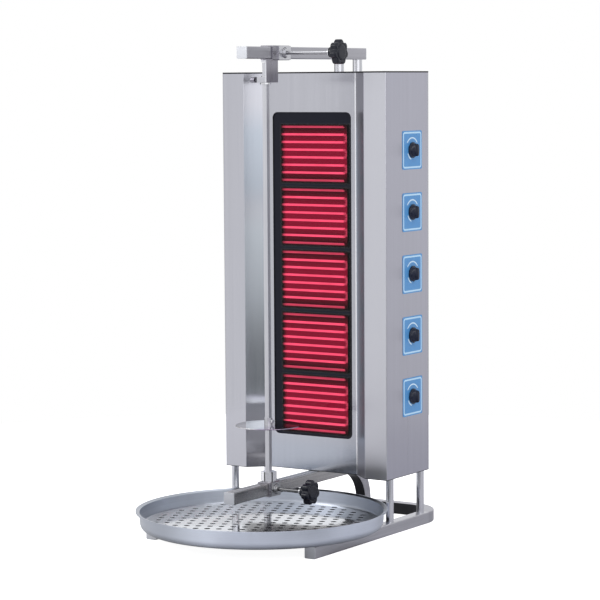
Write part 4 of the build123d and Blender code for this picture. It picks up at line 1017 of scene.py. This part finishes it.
rings = cut_corners(KNOB_RINGS)
for number in range(1, ZONES + 1):
    low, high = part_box(f"control_knob_{number}")
    shaft_end = (low.x - high.x) * 1000.0 + KNOB_DEPTH
    shaft = np.array([[shaft_end, KNOB_SHAFT, KNOB_SHAFT, 2.0]])
    start = (high.x - KNOB_DEPTH / 1000.0, (low.y + high.y) / 2, (low.z + high.z) / 2)
    grid = grip_surface(np.concatenate([shaft, rings]), KNOB_TURNS, start)
    knob = add_piece(f"moulded_control_knob_{number}", grid, blue_black, f"knob_{number}",
                     "black_knob", wrap_u=True, caps=True)
    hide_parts(f"control_knob_{number}")
print("control knob grid:", grid.shape)

# %% [markdown]
# Where the clamp nuts meet their plates there is a welded bead: a small ring whose thickness
# ripples once for each drop of metal that the welder laid.

# %% Weld beads
BEAD_RIPPLES = 22
BEAD_RADIUS = 0.0108
BEAD_THICKNESS = 0.0014
BEAD_X = 0.0223


def weld_bead(middle, turns=176, around=10):
    """Ring round X: tube radius = thickness * (0.8 + 0.2 |sin(ripples * angle / 2)|)."""
    angle, section = full_turn(turns)[:, None], full_turn(around)[None, :]
    tube = BEAD_THICKNESS * (0.8 + 0.2 * np.abs(np.sin(BEAD_RIPPLES * angle / 2)))
    reach = BEAD_RADIUS + tube * np.cos(section)
    return np.stack([BEAD_X + tube * np.sin(section), middle.y + reach * np.cos(angle),
                     middle.z + reach * np.sin(angle)], axis=-1)


bead_steel = polished_steel("weld_bead_steel", (0.60, 0.60, 0.63), 0.20)
for which in ("upper", "lower"):
    grid = weld_bead(middle_of(f"{which}_clamp_screw"))
    add_piece(f"{which}_weld_bead", grid, bead_steel, f"{which}_carriage", "stainless_tube",
              wrap_u=True, wrap_v=True)
print("bead grid:", grid.shape)

# %% [markdown]
# The studio is white all round, as in a catalogue picture. The world shows white to the camera and
# in reflections, and gives a plainer light to everything else. Steel needs something to reflect,
# so the world a mirror sees isn't even: it is a little darker to the right and behind, as a room
# is away from its window, and dark low down in front, where the studio's own floor is.

# %% World
COOL_WHITE = (0.97, 0.98, 1.0)
FRONT_RIGHT_WAY = (0.76, -0.65)
FLAG_WAY = (-0.95, 0.31)


def toward(tree, x, y, way, low, high):
    """A soft spot by direction: the part of (x, y) along way, stepped from low to high."""
    return step_up(tree, weigh(tree, (x, way[0]), (y, way[1])), low, high)


def mirrored_room(tree):
    """Strength by direction: less on the right, dark low in front at the right, with a bright
    part over the dark and two thin streaks in it, and a dark flag on the left."""
    way = add(tree, "TexCoord").outputs["Generated"]
    x, y, z = add(tree, "SeparateXYZ", Vector=way).outputs
    right = step_up(tree, x, -0.2, 1.0)
    front_right = toward(tree, x, y, FRONT_RIGHT_WAY, 0.80, 0.95)
    flag = toward(tree, x, y, FLAG_WAY, 0.85, 0.95)
    depth = weigh(tree, (front_right, 0.60), (right, 0.25))
    low = times(tree, depth, step_up(tree, z, -0.088, -0.110))
    shade = times(tree, scaled(tree, right, -0.22, 1.0), minus(tree, 1.0, low))
    glare = weigh(tree, (step_up(tree, z, -0.075, 0.0), 0.75),
                  (band(tree, z, -0.137, 0.003, 0.002), 0.5),
                  (band(tree, z, -0.158, 0.003, 0.002), 0.9))
    shade = scaled(tree, glare, front_right, shade)
    return times(tree, shade, scaled(tree, flag, -0.92, 1.0))


def mix_shaders(tree, share, first, second):
    """First where the share is 0, second where it is 1."""
    node = add(tree, "MixShader")
    for socket, value in zip(node.inputs, (share, first.outputs[0], second.outputs[0])):
        feed(tree, socket, value)
    return node


def soft_world():
    """The mirrored room for glossy rays, plain white for the camera, pale grey for the rest."""
    world = bpy.data.worlds.new("white_studio")
    bpy.context.scene.world = world
    world.use_nodes = True
    tree = world.node_tree
    tree.nodes.clear()
    path = add(tree, "LightPath").outputs
    room = add(tree, "Background", Color=COOL_WHITE, Strength=mirrored_room(tree))
    white = add(tree, "Background", Color=(1.0, 1.0, 1.0), Strength=1.0)
    plain = add(tree, "Background", Color=COOL_WHITE, Strength=0.75)
    seen = larger(tree, path["Is Camera Ray"], path["Is Transmission Ray"])
    light = mix_shaders(tree, path["Is Glossy Ray"], plain, room)
    light = mix_shaders(tree, seen, light, white)
    add(tree, "OutputWorld", Surface=light.outputs[0])


soft_world()
print("world:", bpy.context.scene.world.name)

# %% [markdown]
# The floor is a round sheet of pale paper. To the camera it is lifted to white by a glow, so that
# only the object's shadow stays. Mirrors see the paper plainly, and darker parts of it in front
# and on the right, which give the low metal its contrast.

# %% Floor
FLOOR_RADIUS = 2.2
FLOOR_Z = -0.0005


def paper_finish(name):
    """Diffuse paper plus a glow: 0.94 to the camera, 0.15 to mirrors away from the dark parts."""
    finish = bpy.data.materials.new(name)
    finish.use_nodes = True
    tree = finish.node_tree
    tree.nodes.clear()
    path = add(tree, "LightPath").outputs
    _, x, y, _ = place_of(tree)
    front = times(tree, step_up(tree, x, -0.65, -0.45), step_up(tree, y, -0.95, -1.10))
    beside_it = times(tree, step_up(tree, x, 0.30, 0.50), step_up(tree, y, -0.10, -0.30))
    dark_part = larger(tree, front, beside_it)
    on_right = step_up(tree, x, -0.20, 0.20)
    paper_tone = blend_colours(tree, on_right, (0.86, 0.86, 0.88), (0.68, 0.68, 0.72))
    mirrored = blend_colours(tree, dark_part, paper_tone, (0.40, 0.40, 0.42))
    shown = blend_colours(tree, path["Is Glossy Ray"], (0.92, 0.92, 0.93), mirrored)
    paper = add(tree, "BsdfDiffuse", Color=shown)
    pale_part = minus(tree, 1.0, larger(tree, dark_part, on_right))
    glow = weigh(tree, (path["Is Camera Ray"], 0.94),
                 (times(tree, path["Is Glossy Ray"], pale_part), 0.15))
    lift = add(tree, "Emission", Color=(1.0, 1.0, 1.0), Strength=glow)
    both = add(tree, "AddShader")
    feed(tree, both.inputs[0], paper.outputs[0])
    feed(tree, both.inputs[1], lift.outputs[0])
    add(tree, "OutputMaterial", Surface=both.outputs[0])
    return finish


def make_floor(turns=96, rings=3):
    """A disc: rings of points round Z, from a pinhole to FLOOR_RADIUS."""
    turn = full_turn(turns)
    circle = np.stack([np.cos(turn), np.sin(turn), np.zeros_like(turn)], axis=1)
    radii = np.linspace(0.02, FLOOR_RADIUS, rings)
    mesh = grid_mesh("studio_floor", circle[:, None, :] * radii[None, :, None], wrap_u=True)
    mesh.materials.append(paper_finish("white_floor"))
    floor = bpy.data.objects.new("studio_floor", mesh)
    floor.location.z = FLOOR_Z
    bpy.context.scene.collection.objects.link(floor)
    return mesh


print("floor faces:", len(make_floor().polygons))

# %% [markdown]
# Two large soft lamps model the forms: the main one high on the left in front, and a weaker one
# from the right. They are big and far, so their reflections are soft patches and not spots.

# %% Lamps
def soft_lamp(name, place, aim, size, power):
    """A square area lamp; its matrix turns -Z towards the aim."""
    data = bpy.data.lights.new(name, "AREA")
    data.size = size
    data.energy = power
    lamp = bpy.data.objects.new(name, data)
    lamp.location = place
    lamp.rotation_euler = (Vector(aim) - Vector(place)).to_track_quat("-Z", "Y").to_euler()
    bpy.context.scene.collection.objects.link(lamp)


soft_lamp("main_softbox", (-2.4, -2.6, 2.8), (0.0, 0.0, 0.6), 2.0, 40.0)
soft_lamp("side_softbox", (2.8, -0.6, 2.4), (0.0, 0.1, 0.6), 1.6, 18.0)
bpy.context.scene.view_settings.view_transform = "Standard"
